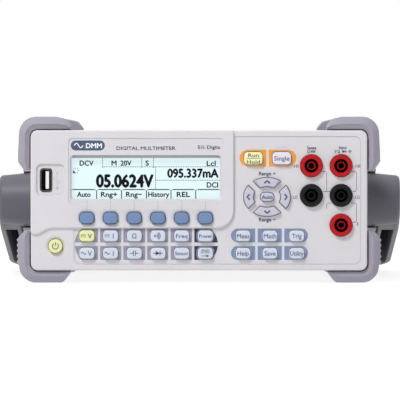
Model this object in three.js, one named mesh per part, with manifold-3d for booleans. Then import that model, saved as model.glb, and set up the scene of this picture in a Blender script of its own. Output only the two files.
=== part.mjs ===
// Half-rack bench multimeter: front bezel with keys, display and input jacks, sheet-metal case,
// rubber corner bumpers, swinging carry handle, rear connections and the main parts inside.
// Millimetres. +Z is up, the front faces -Y, and X runs from left to right seen from the front.
// Depths below are measured from the front of the display panel, and the whole group is then
// moved back so that the origin lies at the bottom centre of the instrument with its handle.
import * as THREE from "three";
import { mergeVertices } from "three/addons/utils/BufferGeometryUtils.js";
import Module from "manifold-3d";

const wasm = await Module();
wasm.setup();

// ---------------------------------------------------------------- driving dimensions
const GAP = 0.3; // clearance between touching pieces
const BEYOND = 1; // how far a cutter runs past the face it cuts

const FACE = { width: 216, height: 90, radius: 4.5, z: 53 }; // front flange of the bezel
const BODY = { width: 212, height: 86, radius: 3.5 }; // case section behind the flange
const WALL = 2.4;
const PANEL_Y = 1.6; // key panel, set back from the raised display panel
const FACE_BACK_Y = 4; // back of the front wall
const FLANGE_BACK_Y = 12;
const BEZEL_BACK_Y = 32;
const CASE_BACK_Y = 284;
const SHEET = 1.2;
const VENT = { count: 8, first: 160, pitch: 9, width: 4, bottom: 62, top: 86 }; // case side slots
const REAR_VENT = { count: 6, first: -50, pitch: 9, width: 4, bottom: 52, top: 84 };

const BUMPER_FRONT_Y = 3;
const BUMPER_DEPTH = 42;
const BUMPER_END_Y = 290.5; // rear end of the rear bumpers
const BUMPER_X = 115.8; // half width over the bumpers
const BUMPER_TOP = 106.8;
const BUMPER_CORNER = 11;
const GRIP_TEETH = 5;
const GRIP_PITCH = 3.55;
const GRIP_DEPTH = 0.9;

const TRAVEL = 1.2; // key travel
const KEY_GAP = 0.35; // clearance round a key in its hole
const KEY_RIM = 1.2; // flange that keeps a key behind the panel
const KEY_PROUD = 2.2;
const KEY_BACK_Y = FACE_BACK_Y + GAP;
const RIM_BACK_Y = KEY_BACK_Y + 1;
const MAT_Y = RIM_BACK_Y + TRAVEL + GAP;
const MAT_THICKNESS = 1;
const PLUNGER_BACK_Y = MAT_Y + MAT_THICKNESS + 0.8;
const BOARD_Y = PLUNGER_BACK_Y + TRAVEL + GAP;
const BOARD_THICKNESS = 1.6;

const COLUMN_X = -71.9; // first column of soft and function keys
const COLUMN_PITCH = 15.2;
const SOFT_Z = 41.7;
const ROW_Z = [30.2, 19.1];
const MENU_X = 28.3;
const MENU_PITCH = 17.2;
const SOFT_KEY = { width: 9.2, height: 7.2, radius: 2.9 };
const SMALL_KEY = { width: 9.8, height: 7.2, radius: 2.4 };
const MENU_KEY = { width: 9.6, height: 7, radius: 2.4 };
const RUN_KEY = { width: 11.9, height: 8, radius: 2.4 };
const RUN_Z = 80;
const NAV = { x: 43.7, z: 55.2, outer: [14.9, 12.3], inner: [9, 6.8], gap: 4.4 };
const AUTO_KEY = { width: 8.6, height: 5.6, radius: 2.75 };
const POWER_KEY = { x: -92.1, z: 23.7, radius: 4.5 };

const DISPLAY = { left: -81.8, right: 13.6, bottom: 53.8, top: 80.2, radius: 1.6 };
const LENS_THICKNESS = 1.2;
const USB = { x: -98.1, z: 66, width: 7, height: 14.2, depth: 14, wall: 0.5 };
const USB_RECESS = { left: -104, right: -87, bottom: 56.6, top: 76, radius: 2.5, depth: 1 };

const JACK_PITCH = 19.05; // the standard spacing of 4 mm test sockets
const JACK_X = 72.1;
const JACK_Z = [75.2, 56.15, 37.1];
const JACK = { outer: 7.2, annulus: 4.7, tube: 3.1, bore: 2 };

const HUB = { y: 140, z: 52, radius: 18.6, endRadius: 16.4, inner: 109.5 };
const HANDLE_X = 134.5; // half width over the handle
const STRAP = 14; // thickness of the handle's arms and crossbar
const STRAP_WIDTH = 36;
const REACH = 184; // pivot to the outside of the crossbar
const HANDLE_CORNER = 38;
const HANDLE_WALL = { outer: 3.2, inner: 2.6, top: 3 }; // walls round the hollow underside
const HANDLE_DROP = 10.6; // degrees below level, with the handle laid back on the bench
const AXLE_RADIUS = 6;
const BASE_RADIUS = 21.4;
const BASE_FACE_X = 109.2;
const COLLAR_X = 118.7;
const COLLAR_BORE = 19.2;

const REAR_Y = 280; // outer face of the rear panel
const PANEL_SHEET = 1.5;
const INLET = { x: -76, z: 44, width: 27.4, height: 50, flange: 2 };
const ROCKER = { z: 58.5, width: 11.6, height: 18, tilt: 10 };
const FUSE = { x: 78, z: 66 };
const BNC_X = [20, 44];
const BNC_Z = 66;
const MAIN_BOARD = { left: -48, right: 96, front: 60, back: 275, z: 18 };

const REAR_LIMIT = HUB.y + REACH * Math.cos(THREE.MathUtils.degToRad(HANDLE_DROP))
  + (STRAP_WIDTH / 2) * Math.sin(THREE.MathUtils.degToRad(HANDLE_DROP));
const FRONT_LIMIT = -KEY_PROUD; // soft keys stand furthest forward
const CENTRE_Y = (REAR_LIMIT + FRONT_LIMIT) / 2;

// ---------------------------------------------------------------- materials
const paint = (color, roughness, metalness = 0) =>
  new THREE.MeshStandardMaterial({ color, roughness, metalness });
const MATERIALS = {
  bezel: paint(0xdad8db, 0.55),
  case: paint(0xcfcdd2, 0.5, 0.1),
  bumper: paint(0x95929f, 0.8),
  handle: paint(0x5c5a63, 0.6),
  softKey: paint(0x7590b8, 0.6),
  paleKey: paint(0xccd3e2, 0.6),
  litKey: paint(0xe6ebb4, 0.5),
  navKey: paint(0xc3c2d0, 0.55),
  red: paint(0xc0161f, 0.35),
  black: paint(0x26272c, 0.45),
  steel: paint(0xb9bbc0, 0.35, 0.9),
  board: paint(0x2f6b45, 0.6),
  rubber: paint(0xb8bac2, 0.8),
  lens: paint(0xe8f4f6, 0.1),
  core: paint(0x6d6f74, 0.5, 0.7),
};

// ---------------------------------------------------------------- solids
const solidOf = (geometry) => {
  const bare = geometry.clone();
  bare.deleteAttribute("normal");
  bare.deleteAttribute("uv");
  const merged = mergeVertices(bare, 1e-4);
  return new wasm.Manifold(new wasm.Mesh({
    numProp: 3,
    vertProperties: new Float32Array(merged.attributes.position.array),
    triVerts: new Uint32Array(merged.index.array),
  }));
};
const geometryOf = (solid) => {
  const mesh = solid.getMesh();
  return new THREE.BufferGeometry()
    .setAttribute("position", new THREE.BufferAttribute(mesh.vertProperties, 3))
    .setIndex(new THREE.BufferAttribute(mesh.triVerts, 1));
};
const joined = (...solids) => solids.reduce((a, b) => a.add(b));
const cut = (solid, ...cutters) => cutters.reduce((a, b) => a.subtract(b), solid);

// A closed outline through [x, z] points.
const outline = (points) => new THREE.Shape(points.map(([x, z]) => new THREE.Vector2(x, z)));

const roundedRect = (x, z, width, height, radius) => {
  const shape = new THREE.Shape();
  const [left, right, bottom, top] = [x - width / 2, x + width / 2, z - height / 2, z + height / 2];
  shape.absarc(right - radius, bottom + radius, radius, -Math.PI / 2, 0);
  shape.absarc(right - radius, top - radius, radius, 0, Math.PI / 2);
  shape.absarc(left + radius, top - radius, radius, Math.PI / 2, Math.PI);
  shape.absarc(left + radius, bottom + radius, radius, Math.PI, Math.PI * 1.5);
  return shape;
};
const grown = ({ width, height, radius }, by) =>
  ({ width: width + 2 * by, height: height + 2 * by, radius: Math.max(0.3, radius + by) });
const rectAt = (x, z, size) => roundedRect(x, z, size.width, size.height, size.radius);
const rectBetween = ({ left, right, bottom, top, radius }) =>
  roundedRect((left + right) / 2, (bottom + top) / 2, right - left, top - bottom, radius);

// An outline in X and Z, extruded from depth front to depth back.
const prism = (shape, front, back, curveSegments = 1) => solidOf(
  new THREE.ExtrudeGeometry(shape, { depth: back - front, bevelEnabled: false, curveSegments })
    .rotateX(Math.PI / 2)
    .translate(0, back, 0));
const box = (left, right, front, back, bottom, top) => solidOf(
  new THREE.BoxGeometry(right - left, back - front, top - bottom)
    .translate((left + right) / 2, (front + back) / 2, (bottom + top) / 2));
// A round piece along Y at [x, z], from its [radius, depth] profile.
const turned = (x, z, profile, segments) => solidOf(
  new THREE.LatheGeometry(profile.map(([r, y]) => new THREE.Vector2(r, y)), segments)
    .translate(x, 0, z));
// A round piece along X, on the handle's pivot axis, from its [radius, x] profile.
const onAxis = (profile, segments, side) => {
  const lathe = new THREE.LatheGeometry(profile.map(([r, x]) => new THREE.Vector2(r, x)), segments)
    .rotateZ(-Math.PI / 2);
  const solid = solidOf(lathe);
  return side > 0 ? solid : solid.mirror([1, 0, 0]);
};
const disc = (radius, front, back) => [[0, front], [radius, front], [radius, back], [0, back]];

// ---------------------------------------------------------------- assembly helper
const meter = new THREE.Group();
meter.position.y = -CENTRE_Y;
const add = (name, solid, material, parent = meter) => {
  const mesh = new THREE.Mesh(geometryOf(solid), material);
  mesh.name = name;
  parent.add(mesh);
};

// ---------------------------------------------------------------- keys
const KEY_NAMES = [
  ["key_dc_volts", "key_dc_current", "key_resistance", "key_continuity", "key_frequency", "key_preset"],
  ["key_ac_volts", "key_ac_current", "key_capacitance", "key_diode", "key_sensor", "key_second"],
];
const MENU_NAMES = [
  ["key_measure", "key_math", "key_trigger"],
  ["key_help", "key_save", "key_utility"],
];
const rectKey = (name, x, z, size, front, material) =>
  ({ name, x, z, front, material, shape: (by) => rectAt(x, z, grown(size, by)) });

// One quarter of the navigation ring: an elliptical band between the two diagonal gaps.
const NAV_STEPS = 6;
const navSector = (turn, by) => {
  const limit = (radii, gap) =>
    Math.PI / 4 - Math.asin(gap / 2 / ((radii[0] + radii[1]) / 2));
  const gap = NAV.gap - 2 * by * 0.6;
  const outer = NAV.outer.map((r) => r + by);
  const inner = NAV.inner.map((r) => r - by);
  const arc = (radii, from, to, steps) => Array.from({ length: steps + 1 }, (_, i) => {
    const angle = turn + from + ((to - from) * i) / steps;
    return [NAV.x + radii[0] * Math.cos(angle), NAV.z + radii[1] * Math.sin(angle)];
  });
  const [far, near] = [limit(outer, gap), limit(inner, gap)];
  return outline([...arc(outer, -far, far, NAV_STEPS), ...arc(inner, near, -near, NAV_STEPS / 2)]);
};
const round = (x, z, radius) => new THREE.Shape().absarc(x, z, radius, 0, 2 * Math.PI);

const keys = [];
for (let i = 0; i < 6; i++) {
  const x = COLUMN_X + i * COLUMN_PITCH;
  keys.push(rectKey(`softkey_${i + 1}`, x, SOFT_Z, SOFT_KEY, -KEY_PROUD, MATERIALS.softKey));
  ROW_Z.forEach((z, row) => {
    const material = row === 0 && i === 0 ? MATERIALS.litKey : MATERIALS.paleKey;
    keys.push(rectKey(KEY_NAMES[row][i], x, z, SMALL_KEY, PANEL_Y - KEY_PROUD, material));
  });
}
MENU_NAMES.forEach((names, row) => names.forEach((name, i) => keys.push(
  rectKey(name, MENU_X + i * MENU_PITCH, ROW_Z[row], MENU_KEY, PANEL_Y - KEY_PROUD, MATERIALS.paleKey))));
keys.push(rectKey("key_run_hold", 34.9, RUN_Z, RUN_KEY, PANEL_Y - KEY_PROUD, MATERIALS.litKey));
keys.push(rectKey("key_single", 53.1, RUN_Z, RUN_KEY, PANEL_Y - KEY_PROUD, MATERIALS.paleKey));
keys.push(rectKey("key_auto", NAV.x, NAV.z, AUTO_KEY, PANEL_Y - KEY_PROUD, MATERIALS.navKey));
const NAV_KEYS = [ // name, quarter of the ring, and which way it lies from the middle
  ["nav_right", 0, 1, 0], ["nav_up", 1, 0, 1], ["nav_left", 2, -1, 0], ["nav_down", 3, 0, -1],
];
for (const [name, quarter, dx, dz] of NAV_KEYS) {
  const middle = [(NAV.outer[0] + NAV.inner[0]) / 2, (NAV.outer[1] + NAV.inner[1]) / 2];
  keys.push({
    name,
    x: NAV.x + dx * middle[0],
    z: NAV.z + dz * middle[1],
    front: PANEL_Y - KEY_PROUD,
    material: MATERIALS.navKey,
    shape: (by) => navSector((quarter * Math.PI) / 2, by),
  });
}
keys.push({
  name: "key_power", x: POWER_KEY.x, z: POWER_KEY.z, front: PANEL_Y - KEY_PROUD,
  material: MATERIALS.litKey, shape: (by) => round(POWER_KEY.x, POWER_KEY.z, POWER_KEY.radius + by),
});

const PLUNGER = 1.8; // half width of the peg that presses the board's switch
const segmentsOf = (key) => (key.name === "key_power" ? 8 : 1);
const plunger = (key, by, front, back) => box(
  key.x - PLUNGER - by, key.x + PLUNGER + by, front, back, key.z - PLUNGER - by, key.z + PLUNGER + by);
for (const key of keys) {
  const rim = key.name.startsWith("nav") || key.name === "key_auto" ? 0.9 : KEY_RIM;
  add(key.name, joined(
    prism(key.shape(0), key.front, RIM_BACK_Y, segmentsOf(key)),
    prism(key.shape(rim), KEY_BACK_Y, RIM_BACK_Y, segmentsOf(key)),
    plunger(key, 0, RIM_BACK_Y - GAP, PLUNGER_BACK_Y)), key.material);
}

// ---------------------------------------------------------------- input jacks
const jacks = [
  ["jack_sense_high", JACK_X, JACK_Z[0], MATERIALS.red],
  ["jack_input_high", JACK_X + JACK_PITCH, JACK_Z[0], MATERIALS.red],
  ["jack_sense_low", JACK_X, JACK_Z[1], MATERIALS.black],
  ["jack_input_low", JACK_X + JACK_PITCH, JACK_Z[1], MATERIALS.black],
  ["jack_current", JACK_X + JACK_PITCH, JACK_Z[2], MATERIALS.red],
];
const JACK_SEGMENTS = 16;
const JACK_PROFILE = [
  [0, 20], [JACK.bore, 20], [JACK.bore, 1], [JACK.tube, 1], [JACK.tube, 17], [JACK.annulus, 17],
  [JACK.annulus, -0.6], [JACK.outer, -0.6], [JACK.outer, KEY_BACK_Y], [8.6, KEY_BACK_Y],
  [8.6, KEY_BACK_Y + 2], [6.4, KEY_BACK_Y + 2], [6.4, 27], [2, 27], [2, 33], [0, 33],
];
for (const [name, x, z, material] of jacks) add(name, turned(x, z, JACK_PROFILE, JACK_SEGMENTS), material);

// ---------------------------------------------------------------- front bezel
// The raised display panel: straight on top, a wide round corner at the lower right, and a lower
// edge that dips in a wave towards the left side.
const displayPanel = () => {
  const right = 22.4, bottom = 35, corner = 11.5, dip = 30.9;
  const left = -FACE.width / 2, top = FACE.z + FACE.height / 2;
  const shape = new THREE.Shape();
  shape.moveTo(right, top);
  shape.lineTo(left, top);
  shape.lineTo(left, dip + 1);
  shape.bezierCurveTo(left + 3, dip - 0.8, left + 6, dip, left + 9, dip + 1.8);
  shape.bezierCurveTo(left + 12, dip + 3.4, left + 15, bottom, left + 20, bottom);
  shape.lineTo(right - corner, bottom);
  shape.absarc(right - corner, bottom + corner, corner, -Math.PI / 2, 0);
  return shape;
};
const bezel = () => {
  const flange = prism(rectAt(0, FACE.z, FACE), PANEL_Y, FLANGE_BACK_Y, 2);
  const raised = prism(displayPanel(), 0, FACE_BACK_Y, 4)
    .intersect(prism(rectAt(0, FACE.z, FACE), -BEYOND, FACE_BACK_Y, 2));
  const skirt = prism(rectAt(0, FACE.z, BODY), PANEL_Y + 1, BEZEL_BACK_Y, 2);
  const room = prism(rectAt(0, FACE.z, grown(BODY, -WALL)), FACE_BACK_Y, BEZEL_BACK_Y + BEYOND, 1);
  const window = prism(rectBetween(DISPLAY), -BEYOND, FACE_BACK_Y + BEYOND);
  const recess = prism(rectBetween(USB_RECESS), -BEYOND, USB_RECESS.depth);
  const slot = prism(roundedRect(USB.x, USB.z, USB.width + 0.8, USB.height + 0.8, 1),
    -BEYOND, FACE_BACK_Y + BEYOND);
  const keyHoles = keys.map((key) =>
    prism(key.shape(KEY_GAP), -BEYOND, FACE_BACK_Y + BEYOND, segmentsOf(key)));
  const jackHoles = jacks.map(([, x, z]) =>
    turned(x, z, disc(JACK.outer + 0.4, -BEYOND, FACE_BACK_Y + BEYOND), JACK_SEGMENTS));
  return cut(joined(flange, raised, skirt), room, window, recess, slot, ...keyHoles, ...jackHoles);
};
add("front_bezel", bezel(), MATERIALS.bezel);

// ---------------------------------------------------------------- behind the front wall
const INNER = { left: -103.3, right: 63.4, bottom: 12.8, top: 93.2 }; // front board's outline
add("display_window", box(DISPLAY.left - 2.5, DISPLAY.right + 2.5, FACE_BACK_Y + GAP,
  FACE_BACK_Y + GAP + LENS_THICKNESS, DISPLAY.bottom - 2.5, DISPLAY.top + 4), MATERIALS.lens);

const lcdFront = FACE_BACK_Y + LENS_THICKNESS + 2 * GAP;
add("display_module", joined(
  box(DISPLAY.left - 5, DISPLAY.right + 5, lcdFront + 1, BOARD_Y - GAP, DISPLAY.bottom - 4, DISPLAY.top + 6),
  box(DISPLAY.left - 2, DISPLAY.right + 2, lcdFront, lcdFront + 2, DISPLAY.bottom - 2, DISPLAY.top + 3)),
MATERIALS.steel);

const MAT_EDGE = { left: -100, right: 62.5, bottom: 13.5, low: 48.5, high: 91, step: 24 };
const keypadMat = () => {
  const sheet = prism(outline([
    [MAT_EDGE.left, MAT_EDGE.bottom], [MAT_EDGE.right + 6.5, MAT_EDGE.bottom], [MAT_EDGE.right + 6.5, 34],
    [MAT_EDGE.right, 36], [MAT_EDGE.right, MAT_EDGE.high], [MAT_EDGE.step, MAT_EDGE.high],
    [MAT_EDGE.step, MAT_EDGE.low], [MAT_EDGE.left, MAT_EDGE.low]]), MAT_Y, MAT_Y + MAT_THICKNESS);
  return cut(sheet, ...keys.map((key) => plunger(key, KEY_GAP, MAT_Y - BEYOND, MAT_Y + 2)));
};
add("keypad_membrane", keypadMat(), MATERIALS.rubber);

const frontBoard = () => {
  const plate = box(INNER.left, INNER.right + 6, BOARD_Y, BOARD_Y + BOARD_THICKNESS, INNER.bottom, 28);
  const upper = box(INNER.left, INNER.right, BOARD_Y, BOARD_Y + BOARD_THICKNESS, 27, INNER.top);
  const ribbonSocket = box(-20, 15, BOARD_Y + 1, BOARD_Y + 8, 60, 66);
  const processor = box(-60, -44, BOARD_Y + 1, BOARD_Y + 3.4, 55, 71);
  const slot = box(USB.x - USB.width / 2 - GAP, USB.x + USB.width / 2 + GAP, BOARD_Y - BEYOND,
    BOARD_Y + 3, USB.z - USB.height / 2 - GAP, USB.z + USB.height / 2 + GAP);
  return cut(joined(plate, upper, ribbonSocket, processor), slot);
};
add("front_board", frontBoard(), MATERIALS.board);

const usbSocket = () => {
  const [left, right] = [USB.x - USB.width / 2, USB.x + USB.width / 2];
  const [bottom, top] = [USB.z - USB.height / 2, USB.z + USB.height / 2];
  const front = USB_RECESS.depth + 0.2;
  const shell = box(left, right, front, front + USB.depth, bottom, top);
  const mouth = box(left + USB.wall, right - USB.wall, front - BEYOND, front + USB.depth - 2,
    bottom + USB.wall, top - USB.wall);
  const tongue = box(USB.x + 0.1, USB.x + 2.1, front + 1, front + USB.depth - 1, USB.z - 5.7, USB.z + 5.7);
  return joined(cut(shell, mouth), tongue);
};
add("usb_socket", usbSocket(), MATERIALS.steel);

// ---------------------------------------------------------------- case sleeve
const CASE_FRONT_Y = BEZEL_BACK_Y + GAP;
const caseSleeve = () => {
  const tube = prism(rectAt(0, FACE.z, BODY), CASE_FRONT_Y, CASE_BACK_Y, 2);
  const bore = prism(rectAt(0, FACE.z, grown(BODY, -SHEET)),
    CASE_FRONT_Y - BEYOND, CASE_BACK_Y + BEYOND, 2);
  const vents = Array.from({ length: VENT.count }, (_, i) => {
    const front = VENT.first + i * VENT.pitch;
    return box(-BODY.width, BODY.width, front, front + VENT.width, VENT.bottom, VENT.top);
  });
  return cut(tube, bore, ...vents);
};
add("case_sleeve", caseSleeve(), MATERIALS.case);

// ---------------------------------------------------------------- bumpers
// Corner guards of one side: an L over each corner, joined along the side by a thin strap that
// lies behind the bezel's flange. The lower L has grip teeth. Drawn for the right-hand side.
const BUMPER_INNER_X = 82.3;
const bumperCorners = () => {
  const teeth = [];
  const first = 27.6;
  for (let i = 0; i < GRIP_TEETH; i++) {
    const z = first - i * GRIP_PITCH;
    teeth.push([BUMPER_X + 1.5, z], [BUMPER_X + 1.5 - GRIP_DEPTH, z - GRIP_PITCH / 2]);
  }
  const arc = (x, z, from, to) => Array.from({ length: 5 }, (_, i) => {
    const angle = THREE.MathUtils.degToRad(from + ((to - from) * i) / 4);
    return [x + BUMPER_CORNER * Math.cos(angle), z + BUMPER_CORNER * Math.sin(angle)];
  });
  const cornerX = BUMPER_X - BUMPER_CORNER;
  const lower = outline([
    [100, 33.2], [112.6, 33.2], ...teeth, ...arc(cornerX, BUMPER_CORNER, 0, -90),
    [88.1, 0], [BUMPER_INNER_X, 7], [BUMPER_INNER_X, 14], [100, 14],
  ].reverse());
  const upper = outline([
    [100, 72.4], [112.6, 72.4], [BUMPER_X + 0.8, 78], ...arc(cornerX, BUMPER_TOP - BUMPER_CORNER, 0, 90),
    [92.4, BUMPER_TOP], [85.6, BUMPER_TOP - 1.4], [BUMPER_INNER_X, BUMPER_TOP - 6], [BUMPER_INNER_X, 92],
    [100, 92],
  ]);
  return [lower, upper];
};
const bumperBlank = (front, back) => {
  const parts = bumperCorners().map((shape) => prism(shape, front, back));
  const strap = box(100, FACE.width / 2 - GAP, Math.max(front, FLANGE_BACK_Y + GAP), back, 30, 76);
  return joined(...parts, strap);
};
const frontBumper = () => {
  const end = BUMPER_FRONT_Y + BUMPER_DEPTH;
  return cut(bumperBlank(BUMPER_FRONT_Y, end),
    prism(rectAt(0, FACE.z, grown(FACE, GAP)), 0, FLANGE_BACK_Y + GAP, 2),
    prism(rectAt(0, FACE.z, grown(BODY, GAP)), FLANGE_BACK_Y, end + BEYOND, 2));
};
const rearBumper = () => {
  const start = BUMPER_END_Y - BUMPER_DEPTH;
  return cut(bumperBlank(start, BUMPER_END_Y),
    prism(rectAt(0, FACE.z, grown(BODY, GAP)), start - BEYOND, CASE_BACK_Y + GAP, 2),
    prism(rectAt(0, FACE.z, grown(BODY, -4)), CASE_BACK_Y, BUMPER_END_Y + BEYOND, 2));
};
for (const [side, sign] of [["left", -1], ["right", 1]]) {
  const turn = (solid) => (sign > 0 ? solid : solid.mirror([1, 0, 0]));
  add(`bumper_front_${side}`, turn(frontBumper()), MATERIALS.bumper);
  add(`bumper_rear_${side}`, turn(rearBumper()), MATERIALS.bumper);
}

// ---------------------------------------------------------------- handle and its pivots
const HUB_SEGMENTS = 32;
const AXLE_END_X = 124;
const pivotBase = (side) => {
  const plate = onAxis([[0, 106 + GAP], [BASE_RADIUS, 106 + GAP], [BASE_RADIUS, COLLAR_X],
    [COLLAR_BORE, COLLAR_X], [COLLAR_BORE, BASE_FACE_X], [0, BASE_FACE_X]], HUB_SEGMENTS, side);
  const openFront = box(side > 0 ? BASE_FACE_X : -130, side > 0 ? 130 : -BASE_FACE_X, -40, -4, -40, 40);
  const axle = onAxis([[0, 107], [AXLE_RADIUS, 107], [AXLE_RADIUS, AXLE_END_X], [0, AXLE_END_X]], 24, side);
  return joined(cut(plate, openFront), axle).translate([0, HUB.y, HUB.z]);
};
add("pivot_base_left", pivotBase(-1), MATERIALS.case);
add("pivot_base_right", pivotBase(1), MATERIALS.case);

// The handle lies in its own X and Y plane here, pointing back from the pivot axis. A bow is a
// U-shaped strip of it, moved in from the outer face and out from the inner face.
const bow = (outerBy, innerBy, start) => {
  const x = HANDLE_X - outerBy, inside = HANDLE_X - STRAP + innerBy;
  const end = REACH - HANDLE_CORNER;
  const corner = HANDLE_CORNER - outerBy, innerCorner = HANDLE_CORNER - STRAP + innerBy;
  const shape = new THREE.Shape();
  shape.moveTo(x, start);
  shape.lineTo(x, end);
  shape.absarc(x - corner, end, corner, 0, Math.PI / 2);
  shape.absarc(corner - x, end, corner, Math.PI / 2, Math.PI);
  shape.lineTo(-x, start);
  shape.lineTo(-inside, start);
  shape.absarc(innerCorner - inside, end, innerCorner, Math.PI, Math.PI / 2, true);
  shape.absarc(inside - innerCorner, end, innerCorner, Math.PI / 2, 0, true);
  shape.lineTo(inside, start);
  return shape;
};
const handleSolid = () => {
  const slab = (shape, bottom, top) => solidOf(
    new THREE.ExtrudeGeometry(shape, { depth: top - bottom, bevelEnabled: false, curveSegments: 5 })
      .translate(0, 0, bottom));
  const half = STRAP_WIDTH / 2;
  const strap = slab(bow(0, 0, 0), -half, half);
  const hollow = slab(bow(HANDLE_WALL.outer, HANDLE_WALL.inner, 24), -half - BEYOND, half - HANDLE_WALL.top);
  const hubs = [-1, 1].map((side) => onAxis([
    [0, AXLE_END_X + 0.5], [AXLE_RADIUS + 0.35, AXLE_END_X + 0.5], [AXLE_RADIUS + 0.35, HUB.inner],
    [HUB.radius, HUB.inner], [HUB.endRadius, 131], [13.6, HANDLE_X], [0, HANDLE_X]], HUB_SEGMENTS, side));
  const bores = [-1, 1].map((side) => onAxis([[0, 100], [AXLE_RADIUS + 0.35, 100],
    [AXLE_RADIUS + 0.35, AXLE_END_X + 0.5], [0, AXLE_END_X + 0.5]], HUB_SEGMENTS, side));
  return cut(joined(cut(strap, hollow), ...hubs), ...bores);
};
const handlePivot = new THREE.Group();
handlePivot.position.set(0, HUB.y, HUB.z);
handlePivot.rotation.x = -THREE.MathUtils.degToRad(HANDLE_DROP);
meter.add(handlePivot);
add("carry_handle", handleSolid(), MATERIALS.handle, handlePivot);

// ---------------------------------------------------------------- chassis with rear panel
const comm = [ // sockets soldered to the main board, seen through the rear panel
  { x: -38, width: 16, height: 13.5, mouth: [11.8, 8.4], depth: 11 }, // network
  { x: -20, width: 12, height: 11, mouth: [8.6, 7.8], depth: 9 }, // device bus
  { x: 6, width: 31, height: 12.6, mouth: [18, 9], depth: 6 }, // serial
  { x: 57, width: 60, height: 15.4, mouth: [44, 10], depth: 6 }, // parallel bus
];
const commBottom = MAIN_BOARD.z + BOARD_THICKNESS;
const TRAY = { bottom: 11.2 + GAP, side: 103.4 };
const STANDOFFS = [[MAIN_BOARD.left + 8, 70], [MAIN_BOARD.right - 8, 70],
  [MAIN_BOARD.left + 8, 250], [MAIN_BOARD.right - 8, 250]];
const chassis = () => {
  const top = TRAY.bottom + SHEET;
  const floor = box(-TRAY.side, TRAY.side, 34, REAR_Y, TRAY.bottom, top);
  const panel = box(-TRAY.side, TRAY.side, REAR_Y - PANEL_SHEET, REAR_Y, TRAY.bottom, 94.2);
  const sides = [-1, 1].map((s) => box(Math.min(s * TRAY.side, s * (TRAY.side - SHEET)),
    Math.max(s * TRAY.side, s * (TRAY.side - SHEET)), 34, REAR_Y, TRAY.bottom, 30));
  const posts = STANDOFFS.map(([x, y]) => box(x - 3, x + 3, y - 3, y + 3, TRAY.bottom, MAIN_BOARD.z - GAP));
  const through = (left, right, bottom, up) => box(left, right, REAR_Y - 4, REAR_Y + BEYOND, bottom, up);
  const holes = comm.map(({ x, width, height }) => through(x - width / 2 - 0.5, x + width / 2 + 0.5,
    commBottom - 2.4, commBottom + height + 0.5));
  holes.push(through(INLET.x - INLET.width / 2 - 0.4, INLET.x + INLET.width / 2 + 0.4,
    INLET.z - INLET.height / 2 - 0.4, INLET.z + INLET.height / 2 + 0.4));
  for (const x of BNC_X) holes.push(turned(x, BNC_Z, disc(5.4, REAR_Y - 4, REAR_Y + BEYOND), 12));
  holes.push(turned(FUSE.x, FUSE.z, disc(7.4, REAR_Y - 4, REAR_Y + BEYOND), 12));
  for (let i = 0; i < REAR_VENT.count; i++) {
    const left = REAR_VENT.first + i * REAR_VENT.pitch;
    holes.push(through(left, left + REAR_VENT.width, REAR_VENT.bottom, REAR_VENT.top));
  }
  return cut(joined(floor, panel, ...sides, ...posts), ...holes);
};
add("chassis", chassis(), MATERIALS.steel);

// ---------------------------------------------------------------- main board and transformer
const mainBoard = () => {
  const { left, right, front, back, z } = MAIN_BOARD;
  const plate = box(left, right, front, back, z, z + BOARD_THICKNESS);
  const up = z + BOARD_THICKNESS - 0.1;
  const shield = box(30, 90, 70, 150, up, up + 18);
  const relays = [0, 1, 2].map((i) => box(38 + i * 18, 50 + i * 18, 160, 180, up, up + 12));
  const heatsink = box(-40, -30, 120, 190, up, up + 34);
  const processor = box(-20, 4, 150, 174, up, up + 2.4);
  const capacitors = [0, 1].map((i) => turned(0, 0, disc(9, 0, 26), 12)
    .rotate([90, 0, 0]).translate([-14 + i * 22, 110, up]));
  const sockets = comm.map(({ x, width, height }) =>
    box(x - width / 2, x + width / 2, 264, REAR_Y + 1.5, up, up + height));
  const mouths = comm.map(({ x, height, mouth, depth }) => box(x - mouth[0] / 2, x + mouth[0] / 2,
    REAR_Y + 1.5 - depth, REAR_Y + 3, up + (height - mouth[1]) / 2, up + (height + mouth[1]) / 2));
  return cut(joined(plate, shield, ...relays, heatsink, processor, ...capacitors, ...sockets), ...mouths);
};
add("main_board", mainBoard(), MATERIALS.board);

const transformer = () => {
  const [x, y] = [-76, 170];
  const foot = TRAY.bottom + SHEET + GAP;
  const core = box(x - 24, x + 24, y - 16, y + 16, foot, foot + 52);
  const winding = box(x - 15, x + 15, y - 27, y + 27, foot + 9, foot + 43);
  const feet = box(x - 24, x + 24, y - 26, y + 26, foot, foot + 2);
  return joined(core, winding, feet);
};
add("transformer", transformer(), MATERIALS.core);

// ---------------------------------------------------------------- rear connections
const inletFace = REAR_Y + GAP;
const ROCKER_PIVOT = { y: inletFace + INLET.flange - 1.2, z: ROCKER.z };
const powerInlet = () => {
  const { x, z, width, height, flange } = INLET;
  const plate = prism(roundedRect(x, z, width + 4, height + 6, 2), inletFace, inletFace + flange);
  const body = box(x - width / 2, x + width / 2, inletFace - 22, inletFace + 1,
    z - height / 2, z + height / 2);
  const socket = prism(outline([
    [x - 12, 22], [x + 12, 22], [x + 12, 33.4], [x + 7.4, 38], [x - 7.4, 38], [x - 12, 33.4],
  ]), inletFace - 15, inletFace + flange + BEYOND);
  const well = box(x - ROCKER.width / 2 - 0.5, x + ROCKER.width / 2 + 0.5, inletFace - 9,
    inletFace + flange + BEYOND, ROCKER.z - ROCKER.height / 2 - 0.8, ROCKER.z + ROCKER.height / 2 + 0.8);
  return cut(joined(plate, body), socket, well);
};
add("power_inlet", powerInlet(), MATERIALS.black);

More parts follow.
